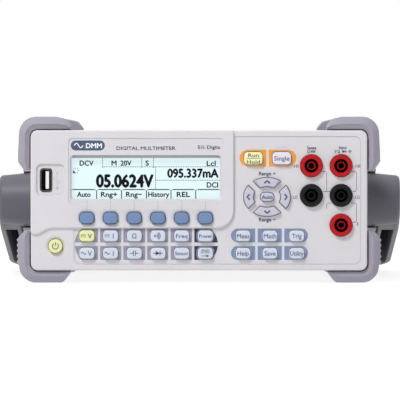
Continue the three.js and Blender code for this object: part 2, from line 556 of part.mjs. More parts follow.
// The rocker: a shallow V face on a round back, tipped to its "on" side at rest.
const rocker = new THREE.Group();
rocker.position.set(INLET.x, ROCKER_PIVOT.y, ROCKER_PIVOT.z);
rocker.rotation.x = -THREE.MathUtils.degToRad(ROCKER.tilt);
meter.add(rocker);
const rockerSolid = () => {
  const half = ROCKER.height / 2 - 0.2;
  const rise = Math.tan(THREE.MathUtils.degToRad(ROCKER.tilt)) * half;
  const side = new THREE.Shape([[0, 1], [half, 1 + rise], [half, -1.6], [4, -4.5], [-4, -4.5], [-half, -1.6],
    [-half, 1 + rise]].map(([z, y]) => new THREE.Vector2(y, z)));
  return solidOf(new THREE.ExtrudeGeometry(side, { depth: ROCKER.width, bevelEnabled: false })
    .translate(0, 0, -ROCKER.width / 2)
    .applyMatrix4(new THREE.Matrix4().set(0, 0, 1, 0, 1, 0, 0, 0, 0, 1, 0, 0, 0, 0, 0, 1)));
};
add("power_rocker", rockerSolid(), MATERIALS.black, rocker);

const fuseHolder = turned(FUSE.x, FUSE.z, [
  [0, REAR_Y - 34], [7, REAR_Y - 34], [7, REAR_Y + GAP], [9.4, REAR_Y + GAP], [9.4, REAR_Y + 3.3],
  [5.4, REAR_Y + 3.3], [5.4, REAR_Y - 31], [0, REAR_Y - 31]], 20);
add("fuse_holder", fuseHolder, MATERIALS.black);
const fuseCap = cut(turned(FUSE.x, FUSE.z, [
  [0, REAR_Y - 28], [3.2, REAR_Y - 28], [3.2, REAR_Y - 4], [5, REAR_Y - 4], [5, REAR_Y + 3.6],
  [7.6, REAR_Y + 3.6], [7.6, REAR_Y + 8], [0, REAR_Y + 8]], 20),
box(FUSE.x - 9, FUSE.x + 9, REAR_Y + 6.8, REAR_Y + 9, FUSE.z - 0.8, FUSE.z + 0.8));
add("fuse_cap", fuseCap, MATERIALS.black);

const BNC_PROFILE = [
  [0, REAR_Y - 14], [5, REAR_Y - 14], [5, REAR_Y + GAP], [7, REAR_Y + GAP], [7, REAR_Y + 2.5],
  [4.8, REAR_Y + 2.5], [4.8, REAR_Y + 10], [4.1, REAR_Y + 10], [4.1, REAR_Y + 3],
  [2.3, REAR_Y + 3], [2.3, REAR_Y + 8], [0, REAR_Y + 8]];
["trigger_connector", "compare_connector"].forEach((name, i) =>
  add(name, turned(BNC_X[i], BNC_Z, BNC_PROFILE, 16), MATERIALS.steel));

const root = new THREE.Group();
root.add(meter);
export default root;
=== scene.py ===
# Looks of the bench multimeter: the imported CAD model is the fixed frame, and finer pieces stand
# for its nodes. Every size below is in millimetres and measured like this: x from the middle of
# the instrument, y back from the front of the display panel, z up from the bench.
import math

import bmesh
import bpy
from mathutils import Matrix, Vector, geometry


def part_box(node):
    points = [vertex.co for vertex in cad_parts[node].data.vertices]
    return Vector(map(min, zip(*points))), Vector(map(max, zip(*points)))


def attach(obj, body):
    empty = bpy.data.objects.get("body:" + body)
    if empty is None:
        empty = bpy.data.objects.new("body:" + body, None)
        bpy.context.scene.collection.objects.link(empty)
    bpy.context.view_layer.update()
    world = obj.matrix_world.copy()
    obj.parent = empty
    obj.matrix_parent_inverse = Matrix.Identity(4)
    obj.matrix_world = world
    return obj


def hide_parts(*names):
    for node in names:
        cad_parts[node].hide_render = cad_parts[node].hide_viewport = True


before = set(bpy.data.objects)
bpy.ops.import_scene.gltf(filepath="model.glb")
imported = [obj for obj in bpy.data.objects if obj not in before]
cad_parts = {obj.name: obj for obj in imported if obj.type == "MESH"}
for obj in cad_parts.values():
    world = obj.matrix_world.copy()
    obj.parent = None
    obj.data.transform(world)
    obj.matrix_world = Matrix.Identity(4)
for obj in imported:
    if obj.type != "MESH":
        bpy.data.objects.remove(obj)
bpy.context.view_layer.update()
MM = 0.001
FRONT_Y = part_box("front_bezel")[0].y
INSTRUMENT = "instrument"

# ---------------------------------------------------------------- driving sizes
FACE = (-108, 108, 8, 98)  # left, right, bottom, top of the front flange
FACE_RADIUS = 4.5
PANEL_Y = 1.6
OVERLAY_Y = 2
WALL_BACK_Y = 4
FLANGE_BACK_Y = 12
BEZEL_BACK_Y = 32
BODY = (-106, 106, 10, 96)
BODY_RADIUS = 3.5

KEY_BACK_Y = 5.4
KEY_FRONT_Y = -0.6  # of the keys on the lower panel
SOFT_FRONT_Y = -2.2
COLUMN_X = [-71.9 + 15.2 * i for i in range(6)]
MENU_X = [28.3 + 17.2 * i for i in range(3)]
ROW_Z = [30.2, 19.1]
SOFT_Z = 41.7
RUN_X, SINGLE_X, RUN_Z = 34.9, 53.1, 80
NAV_X, NAV_Z = 43.7, 55.2
FUNCTION_KEY = (9.8, 7.2, 2.4)  # width, height and corner of a key
MENU_KEY = (9.6, 7, 2.4)
RUN_KEY = (11.9, 8, 2.4)
SOFT_KEY = (9.2, 7.2, 2.9)
AUTO_KEY = (8.6, 5.6, 2.75)
NAV_OUTER, NAV_INNER, NAV_GAP = (14.9, 12.3), (9, 6.8), 4.4
POWER_X, POWER_Z, POWER_R = -92.1, 23.7, 4.5
JACK_R = 7.07
WINDOW = (-82.8, 14.4, 53.0, 82.1)  # at the front of its sloping walls
WINDOW_BACK = (-81.8, 13.4, 53.9, 82.0)
RECESS_Y = 0.6  # floor of the recess round the display

# Colours and materials.
INKS = {
    # The grey band inked on the display glass under the window's upper edge is painted shade of
    # that edge.
    "window_border": (186, 183, 189), "print_dark": (50, 53, 82), "print_keys": (80, 86, 120),
    # The pale ink is print, and also a painted shade line along the overlay's edge.
    "print_grey": (112, 110, 124), "print_faint": (196, 196, 212), "print_pale": (186, 182, 190),
    "print_white": (240, 240, 246), "print_orange": (238, 150, 22), "tile_violet": (142, 140, 160),
    "tile_navy": (30, 43, 76), "tile_blue": (118, 137, 174), "badge_slate": (70, 84, 112)}

# Printing: thin raised ink.
PRINT = 0.06  # thickness of ink
LAYER = 0.012  # how far apart overlapping copies of a letter lie, so that none share a plane
CAP_HEIGHT = 0.73  # of the built-in font, for a size of 1

# Front bezel.
FUNCTION_KEYS = [
    ["key_dc_volts", "key_dc_current", "key_resistance", "key_continuity", "key_frequency",
     "key_preset"],
    ["key_ac_volts", "key_ac_current", "key_capacitance", "key_diode", "key_sensor",
     "key_second"],
]
MENU_KEYS = [["key_measure", "key_math", "key_trigger"], ["key_help", "key_save", "key_utility"]]
MENU_WORDS = [[("Meas", 8.2), ("Math", 8), ("Trig", 6.1)],
              [("Help", 7.4), ("Save", 7.2), ("Utility", 8.6)]]
JACKS = [
    ("jack_sense_high", 72.1, 75.2, "red"),
    ("jack_input_high", 91.15, 75.2, "red"),
    ("jack_sense_low", 72.1, 56.15, "black"),
    ("jack_input_low", 91.15, 56.15, "black"),
    ("jack_current", 91.15, 37.1, "red"),
]
RAISED_BACK_Y = 3
USB_RECESS = (-104.1, -86.7, 56.5, 76.1)
USB_RECESS_Y = 1.5
USB_X, USB_Z = -98.1, 66
WALL = 2.4
USB_SLOT = (7.7, 14.9, 1.9)

# Keys.
LEGEND = 0.5  # width of drawn symbols on the keys
KEY_EDGE = 0.9  # how far a key's edge is rounded

# Printing on the panels.
TILE_COLUMNS = [(-79.8, -64.9), (-63.4, -50), (-48.5, -34.6), (-33.2, -19.8), (-18.1, -4.6),
                (-3, 12.1)]
MENU_COLUMNS = [(20.5, 36), (37.7, 53.1), (54.8, 69.9)]
TILE_ROWS = [(26, 34.9), (14.8, 23.7)]
TILE_MID_Z, TILE_END_R = 24.9, 12.9  # both rows of function tiles share one round end
MENU_END_R = 4.65
PANEL_WORDS = [  # text, x, z, height, width, how much bolder, ink
    ("Range +", 43.8, 70.3, 2.4, 10.6, 0.06, "print_dark"),
    ("Range \u2212", 43.8, 40.7, 2.4, 10.6, 0.06, "print_dark"),
    ("Sense", 72.3, 86.8, 2, 6, 0.06, "print_dark"),
    ("\u03a9 4W", 72.2, 84.4, 2, 5.4, 0.06, "print_dark"),
    ("Input", 92.3, 87, 2, 5, 0.06, "print_dark"),
    ("V \u03a9", 88.6, 84.4, 2, 3.6, 0.06, "print_dark"),
    ("Local", SINGLE_X, 87.5, 2, 7, 0, "print_faint"),
    ("HI", 62.3, 75.1, 2.1, 2.9, 0.06, "print_grey"),
    ("LO", 61.8, 55, 2.1, 2.9, 0.06, "print_grey"),
    ("HI", 101.9, 75.1, 2.1, 2.9, 0.06, "print_grey"),
    ("LO", 101.7, 55, 2.1, 2.9, 0.06, "print_grey"),
    ("I", 101.8, 37.9, 2.3, 0.5, 0.06, "print_grey"),
]

# Display.
SCREEN_Y = 5.2
TAB_X = [-82.2, -65.8, -49.8, -33.8, -18, -2.1, 14]
TAB_TOP = 59.9
LCD_LINE = 0.6
LCD_WORDS = [  # text, x, z, height, width, how much bolder
    ("DCV", -72.2, 77, 3.3, 9.1, 0.14),
    ("M", -54.6, 77, 3.3, 3.3, 0.14),
    ("20V", -46.9, 77, 3.3, 7.1, 0.14),
    ("S", -33.3, 77, 3.3, 2.3, 0.14),
    ("Lcl", 7.8, 76.8, 3.3, 5.9, 0.14),
    ("05.0624V", -47.7, 65.7, 8.2, 37.1, 0.5),
    ("095.337mA", -3.9, 70.6, 5.7, 33.1, 0.32),
    ("DCI", 8.6, 63, 3.5, 7.4, 0.14),
]
TAB_WORDS = [("Auto", 8.8), ("Rng+", 10.5), ("Rng\u2212", 10.3), ("History", 13.6), ("REL", 8.6)]
TAB_TEXT_Z = 56.9

# Corner bumpers.
BUMPER_X, BUMPER_TOP, BUMPER_R = 115.8, 106.8, 11
BUMPER_CLEAR = 0.6  # gap between a bumper and the bezel's flange
BUMPER_END_X = 82.4
TOOTH_TOP_Z, TOOTH_PITCH, TOOTH_DEPTH, TEETH = 27.6, 3.55, 0.9, 5
TOOTH_X = BUMPER_X + 1.5
# A bumper's section as (g, y): g is 0 at its inner edge, 1 at its outer edge, and below 0 where it
# reaches in to the case behind the flange.
FRONT_SECTION = [
    (-0.27, 44.2), (-0.27, 12.7), (0, 12.7), (0, 4.9), (0.04, 4.3), (0.1, 4.05), (0.34, 3.45),
    (0.39, 3.05), (0.45, 3), (0.5, 3.3), (0.9, 5.8), (0.97, 6.8), (1, 8.4), (1, 43.4), (0.96, 44.5),
    (0.86, 45), (-0.2, 45)]
REAR_SECTION = [
    (-0.27, 249), (-0.27, 284.5), (-0.85, 284.5), (-0.85, 290), (-0.8, 290.5), (0.5, 290.5),
    (0.9, 289.2), (0.97, 288.2), (1, 286.6), (1, 250), (0.96, 249), (0.86, 248.5), (-0.2, 248.5)]
SMOOTH_BELOW = 0.7  # the teeth fade out of the section below this g

# Handle and its pivots.
HUB_Y, HUB_Z = 140, 52
HANDLE_X, STRAP, HALF_WIDTH = 134.5, 14, 18  # half width, thickness, and half height of the bow
REACH, BOW_CORNER = 184, 38
BOW_WALL, BOW_INNER_WALL, BOW_ROOF = 3.2, 2.6, 15
HANDLE_DROP = math.radians(10.6)

# Case.
CASE = (32.3, 284)
SHEET = 1.2
VENT_COUNT, VENT_Y, VENT_PITCH, VENT_WIDTH, VENT_RADIUS = 8, 160, 9, 4, 1.95
VENT_Z = (62, 86)

# Rear panel.
REAR_Y = 280
REAR_FACE_Y = 282.3  # outer face of the inlet
INLET_X = -76
SCREWS = [(-95.6, 19.5), (95.6, 88), (-95.6, 88), (12, 88)]
FUSE_X, FUSE_Z, FLUTES = 78, 66, 18
CONNECTOR_X, CONNECTOR_Z = {"trigger_connector": 20, "compare_connector": 44}, 66
SOCKET_Z = 19.5  # top of the main board, where its sockets stand
D_SOCKETS = [("serial", 6, 25.9, 17, 8.4, 5), ("parallel", 57, 27.3, 43, 9.4, 12)]
HOUSINGS = [  # name, x, width, height, mouth, depth of the mouth, material
    ("network", -38, 16, 13.5, (11.8, 8.4), 10, "steel"),
    ("device", -20, 12, 11, (8.6, 7.8), 8, "steel"),
    ("serial", 6, 31, 12.6, (18, 9), 5, "black"),
    ("parallel", 57, 60, 15.4, (44, 10), 5, "black"),
]
REAR_WORDS = [  # text, x, z, width
    ("TRIGGER", 20, 56.4, 13), ("COMPARE", 44, 56.4, 13.6), ("FUSE", 78, 53, 8),
    ("SERIAL", 6, 36.4, 11), ("BUS", 57, 38.6, 7)]
CARRIED = {"display_module": "steel", "keypad_membrane": "silicone", "front_board": "board",
           "chassis": "chassis", "main_board": "board", "transformer": "core"}

# Stage, lights and camera.
CAMERA_AT, CAMERA_AIM = (7.7, -2800, 85), (0.64, 0, 53.25)
LENS_MM = 393
LIGHT_AIM = (0, 100, 50)
LIGHTS = [  # name, position, width and depth, watts
    ("key_light", (-700, -1100, 1500), (500, 450), 26),
    ("top_light", (0, 300, 1400), (1400, 900), 3),
]
FLOOR_HALF, FLOOR_COLOR, FLOOR_GLOW = 6000, 0.2, 0.8
SKY_BEFORE, SKY_BEHIND = 0.32, 1  # strengths of the world's light before and behind the part
SKY_FADE = 0.3  # half width of the change between them, as a direction's y


# ---------------------------------------------------------------- colours and materials
def rgb(r, g, b):
    """An sRGB colour, 0 to 255, as the linear RGBA that shaders take."""
    def linear(c):
        c /= 255
        return c / 12.92 if c <= 0.04045 else ((c + 0.055) / 1.055) ** 2.4
    return (linear(r), linear(g), linear(b), 1)


def shaded(color, by):
    return tuple(min(1, c * by) for c in color[:3]) + (1,)


MAT = {}


def set_inputs(node, **values):
    """Sets sockets of a shader node; an underscore stands for a space in a socket's name."""
    for key, value in values.items():
        node.inputs[key.replace("_", " ")].default_value = value


def shader_node(tree, kind, **values):
    node = tree.nodes.new("ShaderNode" + kind)
    set_inputs(node, **values)
    return node


def surface(name, color, roughness=0.5, grain=0.35, bump=0.12, mottle=0.05, metallic=0.0,
            **shader):
    """A moulded, painted or metal surface: slow colour drift, a fine grain in mm, and its bump."""
    color = rgb(*color)
    mat = MAT[name] = bpy.data.materials.new(name)
    mat.use_nodes = True
    tree, link = mat.node_tree, mat.node_tree.links.new
    bsdf = tree.nodes["Principled BSDF"]
    set_inputs(bsdf, Metallic=metallic, **shader)
    coords = shader_node(tree, "TexCoord").outputs["Object"]
    drift = shader_node(tree, "TexNoise", Scale=45, Detail=4)
    link(coords, drift.inputs["Vector"])
    mix = shader_node(tree, "Mix")
    mix.data_type = "RGBA"
    set_inputs(mix, A=shaded(color, 1 - mottle), B=shaded(color, 1 + mottle))
    link(drift.outputs["Fac"], mix.inputs["Factor"])
    link(mix.outputs["Result"], bsdf.inputs["Base Color"])
    fine = shader_node(tree, "TexNoise", Scale=1000 / grain, Detail=2)
    link(coords, fine.inputs["Vector"])
    rough = shader_node(tree, "MapRange", To_Min=max(0.02, roughness - 0.07),
                        To_Max=min(1, roughness + 0.07))
    link(fine.outputs["Fac"], rough.inputs["Value"])
    link(rough.outputs["Result"], bsdf.inputs["Roughness"])
    lumps = shader_node(tree, "Bump", Strength=bump, Distance=0.1 * MM)
    link(fine.outputs["Fac"], lumps.inputs["Height"])
    link(lumps.outputs["Normal"], bsdf.inputs["Normal"])


def materials():
    surface("bezel", (211, 209, 213))
    surface("overlay", (213, 212, 219), 0.45, grain=0.25, bump=0.08)
    surface("case", (168, 166, 173), grain=0.5, bump=0.3)
    surface("bumper", (153, 150, 162), 0.75, grain=0.3, bump=0.3)
    surface("handle", (92, 90, 99), grain=0.4, bump=0.3)
    surface("pivot", (196, 194, 201))
    surface("soft_key", (109, 133, 173), 0.6)
    surface("pale_key", (204, 211, 226), 0.55)
    surface("lit_key", (224, 228, 166))
    surface("run_key", (238, 236, 176))
    surface("single_key", (222, 220, 231))
    surface("nav_key", (193, 191, 204), 0.55)
    surface("red", (182, 6, 14), 0.45, bump=0.04, mottle=0.06, Specular_IOR_Level=0.25)
    # Very dark red lining the grooves and bores of the red jacks: painted shade in those deep
    # hollows.
    surface("red_hollow_shade", (38, 4, 7), bump=0.04)
    surface("black", (24, 22, 24), 0.45, bump=0.06, Specular_IOR_Level=0.2)
    # Near black for the insides of the jacks and the back of the USB socket: painted shade in deep
    # hollows.
    surface("hole", (12, 11, 14), 0.6)
    surface("tongue", (232, 232, 234), 0.4)
    surface("brass", (196, 160, 96), 0.3, metallic=1, mottle=0.08)
    # Brass darkened and dulled for the contacts deep in the jacks: painted shade over their glint.
    surface("shaded_brass", (70, 56, 34), 0.7, metallic=0.6, mottle=0.1)
    surface("steel", (205, 205, 208), 0.28, metallic=1, bump=0.05)
    surface("dark_chrome", (122, 106, 102), 0.32, metallic=1, bump=0.03)
    surface("chassis", (178, 180, 184), 0.4, grain=0.6, bump=0.1, metallic=0.85)
    surface("board", (36, 92, 58), 0.45, grain=0.8, bump=0.3, mottle=0.2)
    surface("silicone", (190, 192, 198), 0.8)
    surface("core", (108, 106, 108), grain=0.9, bump=0.4, metallic=0.4)
    surface("screen", (129, 142, 144), grain=0.27, bump=0.0, mottle=0.015,
            Emission_Color=rgb(229, 250, 253), Emission_Strength=0.7)
    surface("lcd_ink", (7, 8, 13), 0.8, bump=0.02, Specular_IOR_Level=0.2)
    for name, color in INKS.items():
        surface(name, color, 0.6, grain=0.2, bump=0.03, mottle=0.02)


# ---------------------------------------------------------------- flat outlines, as (x, z) in mm
def arc(x, z, r, start, end, steps):
    """Points of an arc, in degrees, anticlockwise where end is above start."""
    angles = [math.radians(start + (end - start) * i / steps) for i in range(steps + 1)]
    return [(x + r * math.cos(a), z + r * math.sin(a)) for a in angles]


def rounded(left, right, bottom, top, radius, steps=6):
    return (arc(right - radius, bottom + radius, radius, -90, 0, steps)
            + arc(right - radius, top - radius, radius, 0, 90, steps)
            + arc(left + radius, top - radius, radius, 90, 180, steps)
            + arc(left + radius, bottom + radius, radius, 180, 270, steps))


def centred(x, z, width, height, radius, steps=6):
    return rounded(x - width / 2, x + width / 2, z - height / 2, z + height / 2, radius, steps)


def circle(x, z, r, steps=48):
    return arc(x, z, r, 0, 360 * (steps - 1) / steps, steps - 1)


def inset(loop, by):
    """A closed anticlockwise outline moved inwards; a negative distance moves it outwards."""
    moved = []
    count = len(loop)
    for i, (x, z) in enumerate(loop):
        ax, az = x - loop[i - 1][0], z - loop[i - 1][1]
        bx, bz = loop[(i + 1) % count][0] - x, loop[(i + 1) % count][1] - z
        la, lb = math.hypot(ax, az) or 1, math.hypot(bx, bz) or 1
        nx, nz = -az / la - bz / lb, ax / la + bx / lb
        scale = by / max(0.35, (nx * nx + nz * nz) / 2)
        moved.append((x + nx * scale, z + nz * scale))
    return moved


# ---------------------------------------------------------------- mesh building
class Solid:
    """Vertices and faces of a piece, in the millimetre frame of this file."""

    def __init__(self):
        self.verts, self.faces = [], []

    def ring(self, points):
        start = len(self.verts)
        self.verts.extend(points)
        return list(range(start, len(self.verts)))

    def level(self, loop, y):
        return self.ring([(x, y, z) for x, z in loop])

    def wall(self, a, b, closed=True):
        count = len(a)
        for i in range(count if closed else count - 1):
            j = (i + 1) % count
            self.faces.append((a[i], a[j], b[j], b[i]))

    def fill(self, outer, holes=()):
        loops = [outer, *holes]
        flat = [[Vector((self.verts[i][0], self.verts[i][2], 0)) for i in loop] for loop in loops]
        order = [i for loop in loops for i in loop]
        for a, b, c in geometry.tessellate_polygon(flat):
            self.faces.append((order[a], order[b], order[c]))

    def add(self, other):
        start = len(self.verts)
        self.verts.extend(other.verts)
        self.faces.extend(tuple(i + start for i in face) for face in other.faces)
        return self

    def mapped(self, move):
        self.verts = [move(*v) for v in self.verts]
        return self


def opening(outline, profile, floor=False, holes=()):
    """A hole in a panel: its profile is (growth, y) from the front; floor makes it blind."""
    return {"rings": [(inset(outline, -d), y) for d, y in profile], "floor": floor, "holes": holes}


def panel(outline, profile, back, holes=()):
    """A plate whose edge follows profile, (inset, y) from the front, with openings cut in it."""
    solid = Solid()
    rings = [solid.level(inset(outline, d), y) for d, y in profile]
    rings.append(solid.level(inset(outline, profile[-1][0]), back))
    through = []

    def carve(front, cuts):
        entries = []
        for cut in cuts:
            steps = [solid.level(loop, y) for loop, y in cut["rings"]]
            entries.append(steps[0])
            if cut["floor"]:
                carve(steps[-1], cut["holes"])
            else:
                steps.append(solid.level(cut["rings"][-1][0], back))
                through.append(steps[-1])
            for a, b in zip(steps, steps[1:]):
                solid.wall(a, b)
        solid.fill(front, entries)

    carve(rings[0], holes)
    for a, b in zip(rings, rings[1:]):
        solid.wall(a, b)
    solid.fill(rings[-1], through)
    return solid


def soft_edge(front, radius, steps=3):
    """A rounded front edge as a profile of (inset, y)."""
    angles = [math.pi / 2 * i / steps for i in range(steps + 1)]
    return [(radius * (1 - math.sin(a)), front + radius * (1 - math.cos(a))) for a in angles]


def lathe(profile, x, z, steps=48):
    """A turned piece about Y at (x, z); profile is (radius, y) and starts and ends on the axis
    or closes on itself."""
    solid = Solid()
    rings = []
    for r, y in profile:
        if r == 0:
            rings.append(solid.ring([(x, y, z)]))
        else:
            rings.append(solid.level(circle(x, z, r, steps), y))
    closed = profile[0][0] != 0
    pairs = list(zip(rings, rings[1:])) + ([(rings[-1], rings[0])] if closed else [])
    for a, b in pairs:
        if len(a) == 1 and len(b) == 1:
            continue
        if len(a) == 1 or len(b) == 1:
            tip, rim = (a[0], b) if len(a) == 1 else (b[0], a)
            solid.faces.extend((tip, rim[i], rim[(i + 1) % len(rim)]) for i in range(len(rim)))
        else:
            solid.wall(a, b)
    return solid


def block(left, right, front, back, bottom, top):
    solid = Solid()
    loop = [(left, bottom), (right, bottom), (right, top), (left, top)]
    a, b = solid.level(loop, front), solid.level(loop, back)
    solid.wall(a, b)
    solid.fill(a)
    solid.fill(b)
    return solid


def add_object(name, data):
    obj = bpy.data.objects.new(name, data)
    bpy.context.scene.collection.objects.link(obj)
    return obj


def bevel_edges(obj, width, segments, angle):
    """Rounds the edges that are sharper than an angle in degrees."""
    cut = obj.modifiers.new("edges", "BEVEL")
    cut.width = width * MM
    cut.segments = segments
    cut.limit_method = "ANGLE"
    cut.angle_limit = math.radians(angle)


def piece(name, solid, material, body=INSTRUMENT, replaces=(), sharp=34, bevel=0):
    """Turns a solid into a Blender object that rides on a body."""
    mesh = bpy.data.meshes.new(name)
    mesh.from_pydata([(x * MM, FRONT_Y + y * MM, z * MM) for x, y, z in solid.verts], [],
                     solid.faces)
    tidy_normals(mesh)
    mesh.shade_smooth()
    mesh.set_sharp_from_angle(angle=math.radians(sharp))
    mesh.materials.append(MAT[material])
    obj = add_object(name, mesh)
    if bevel:
        bevel_edges(obj, bevel, 2, 35)
    weighted = obj.modifiers.new("normals", "WEIGHTED_NORMAL")
    weighted.keep_sharp = True
    hand_over(obj, body, replaces)


def hand_over(obj, body, replaces):
    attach(obj, body)
    if replaces:
        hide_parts(*replaces)


def tidy_normals(mesh):
    bm = bmesh.new()
    bm.from_mesh(mesh)
    bmesh.ops.remove_doubles(bm, verts=bm.verts, dist=1e-7)
    bmesh.ops.recalc_face_normals(bm, faces=bm.faces)
    bm.to_mesh(mesh)
    bm.free()


# ---------------------------------------------------------------- printing: thin raised ink
prints = {}


def stamp(solid, material, body=INSTRUMENT):
    prints.setdefault((body, material), Solid()).add(solid)


def patch(outline, y, material, body=INSTRUMENT, holes=()):
    """A flat printed area whose front lies just before depth y."""
    cuts = [opening(hole, [(0, y - PRINT)]) for hole in holes]
    stamp(panel(outline, [(0, y - PRINT)], y + PRINT, cuts), material, body)


def stroke(points, width, y, material, body=INSTRUMENT, closed=False):
    """A printed line of even width through (x, z) points."""
    count = len(points)
    left, right = [], []
    for i, (x, z) in enumerate(points):
        before = points[i - 1] if closed or i > 0 else points[i]
        after = points[(i + 1) % count] if closed or i < count - 1 else points[i]
        dx, dz = after[0] - before[0], after[1] - before[1]
        length = math.hypot(dx, dz) or 1
        nx, nz = -dz / length * width / 2, dx / length * width / 2
        left.append((x + nx, z + nz))
        right.append((x - nx, z - nz))
    if closed:
        outer, inner = (left, right) if area(left) > area(right) else (right, left)
        patch(outer, y, material, body, [inner])
    else:
        patch(left + right[::-1], y, material, body)


def area(loop):
    pairs = zip(loop, loop[1:] + loop[:1])
    return abs(sum(ax * bz - bx * az for (ax, az), (bx, bz) in pairs) / 2)


def letters(text, x, z, height, y, material, body=INSTRUMENT, width=None, bold=0):
    """Printed text whose capitals are height tall and centred on z; bold thickens its strokes."""
    curve = bpy.data.curves.new("letters", "FONT")
    curve.body = text
    curve.size = height / CAP_HEIGHT
    curve.extrude = PRINT
    curve.resolution_u = 3
    curve.align_x = "CENTER"
    holder = bpy.data.objects.new("letters", curve)
    mesh = bpy.data.meshes.new_from_object(holder)
    xs = [v.co.x for v in mesh.vertices]
    middle = (max(xs) + min(xs)) / 2
    scale = (width - 2 * bold) / (max(xs) - min(xs)) if width else 1
    shifts = [(0, 0)] + ([(bold, 0), (-bold, 0), (0, bold), (0, -bold)] if bold else [])
    for layer, (dx, dz) in enumerate(shifts):
        solid = Solid()
        front = y - LAYER * layer
        solid.verts = [(x + dx + (v.co.x - middle) * scale, front - v.co.z,
                        z + dz - height / 2 + v.co.y) for v in mesh.vertices]
        solid.faces = [tuple(face.vertices) for face in mesh.polygons]
        stamp(solid, material, body)
    bpy.data.objects.remove(holder)
    bpy.data.curves.remove(curve)
    bpy.data.meshes.remove(mesh)


def lay_prints():
    for (body, material), solid in prints.items():
        piece(f"{material}.{body}", solid, material, body, sharp=20)


# ---------------------------------------------------------------- front bezel
def display_edge(x):
    """Height of the raised panel's lower edge: a wave that dips towards the left side."""
    dip_x, dip_z, level_x, level_z = -105.2, 31.1, -94.6, 35.2
    if x < dip_x:
        return dip_z + 1.1 * ((x - dip_x) / (FACE[0] - dip_x)) ** 2
    t = min(1, (x - dip_x) / (level_x - dip_x))
    return dip_z + (level_z - dip_z) * (3 * t * t - 2 * t ** 3)


def display_outline():
    """The raised panel: straight on top, a wide corner at the lower right, a wave at the left."""
    right, corner = 22.4, 11.5
    left, top, bottom = FACE[0], FACE[3], display_edge(right)
    wave = [(left + i, display_edge(left + i)) for i in range(15)]
    return (wave + arc(right - corner, bottom + corner, corner, -90, 0, 12)
            + arc(right - 1.5, top - 1.5, 1.5, 0, 90, 4)
            + arc(left + FACE_RADIUS, top - FACE_RADIUS, FACE_RADIUS, 90, 180, 6))


def key_hole(outline, front, clearance=0.35):
    return opening(outline, [(clearance + 0.3, front), (clearance + 0.1, front + 0.12),
                             (clearance, front + 0.4)])


def nav_sector(quarter, by=0):
    """One key of the navigation ring, between the two diagonal gaps; by grows it."""
    outer = [r + by for r in NAV_OUTER]
    inner = [r - by for r in NAV_INNER]
    gap = NAV_GAP - 1.2 * by

    def limit(radii):
        return math.pi / 4 - math.asin(gap / (radii[0] + radii[1]))

    def side(radii, start, end, steps):
        turn = quarter * math.pi / 2
        angles = [turn + start + (end - start) * i / steps for i in range(steps + 1)]
        return [(NAV_X + radii[0] * math.cos(a), NAV_Z + radii[1] * math.sin(a)) for a in angles]

    far, near = limit(outer), limit(inner)
    return side(outer, -far, far, 18) + side(inner, near, -near, 10)


def lower_keys():
    """Every key of the lower panel's overlay: its body, outline and material."""
    keys = []
    for row, names in enumerate(FUNCTION_KEYS):
        for x, name in zip(COLUMN_X, names):
            color = "lit_key" if name == "key_dc_volts" else "pale_key"
            keys.append((name, centred(x, ROW_Z[row], *FUNCTION_KEY), color))
    for row, names in enumerate(MENU_KEYS):
        for x, name in zip(MENU_X, names):
            keys.append((name, centred(x, ROW_Z[row], *MENU_KEY), "pale_key"))
    keys.append(("key_run_hold", centred(RUN_X, RUN_Z, *RUN_KEY), "run_key"))
    keys.append(("key_single", centred(SINGLE_X, RUN_Z, *RUN_KEY), "single_key"))
    keys.append(("key_auto", centred(NAV_X, NAV_Z, *AUTO_KEY), "nav_key"))
    for quarter, name in enumerate(["nav_right", "nav_up", "nav_left", "nav_down"]):
        keys.append((name, nav_sector(quarter), "nav_key"))
    return keys


def overlay_outline():
    """The printed overlay's recess: an L round the raised panel, with its inner edge under it."""
    left, right, bottom, top, r = -80.3, 103.9, 11.9, 94, 4
    return (arc(left + r, bottom + r, r, 180, 270, 6) + arc(right - r, bottom + r, r, 270, 360, 6)
            + arc(right - r, top - r, r, 0, 90, 6)
            + [(16.5, top), (16.5, 42), (12, 36.2), (left, 36.2)])


def display_panel():
    """The raised panel, with openings for the display, the USB socket and the soft keys."""
    window = opening(rounded(*WINDOW, 2.2), [(0, RECESS_Y)])
    window["rings"].append((rounded(*WINDOW_BACK, 2), RAISED_BACK_Y - 0.1))
    recess = opening(rounded(-83.6, 15.6, 51, 92.8, 2.4), [(0.3, 0), (0.1, 0.15), (0, RECESS_Y)],
                     True, [window])
    usb = opening(rounded(*USB_RECESS, 2.8), [(0.8, 0), (0.25, 0.35), (0, USB_RECESS_Y)], True,
                  [opening(centred(USB_X, USB_Z, *USB_SLOT),
                           [(0.2, USB_RECESS_Y), (0, USB_RECESS_Y + 0.3)])])
    soft = [opening(centred(x, SOFT_Z, 12.2, 10, 4), [(0.2, 0), (-0.9, 0.6)], True,
                    [key_hole(centred(x, SOFT_Z, *SOFT_KEY), 0.6)]) for x in COLUMN_X]
    raised = panel(display_outline(), soft_edge(0, 0.9), RAISED_BACK_Y, [recess, usb, *soft])
    piece("display_panel", raised, "bezel")


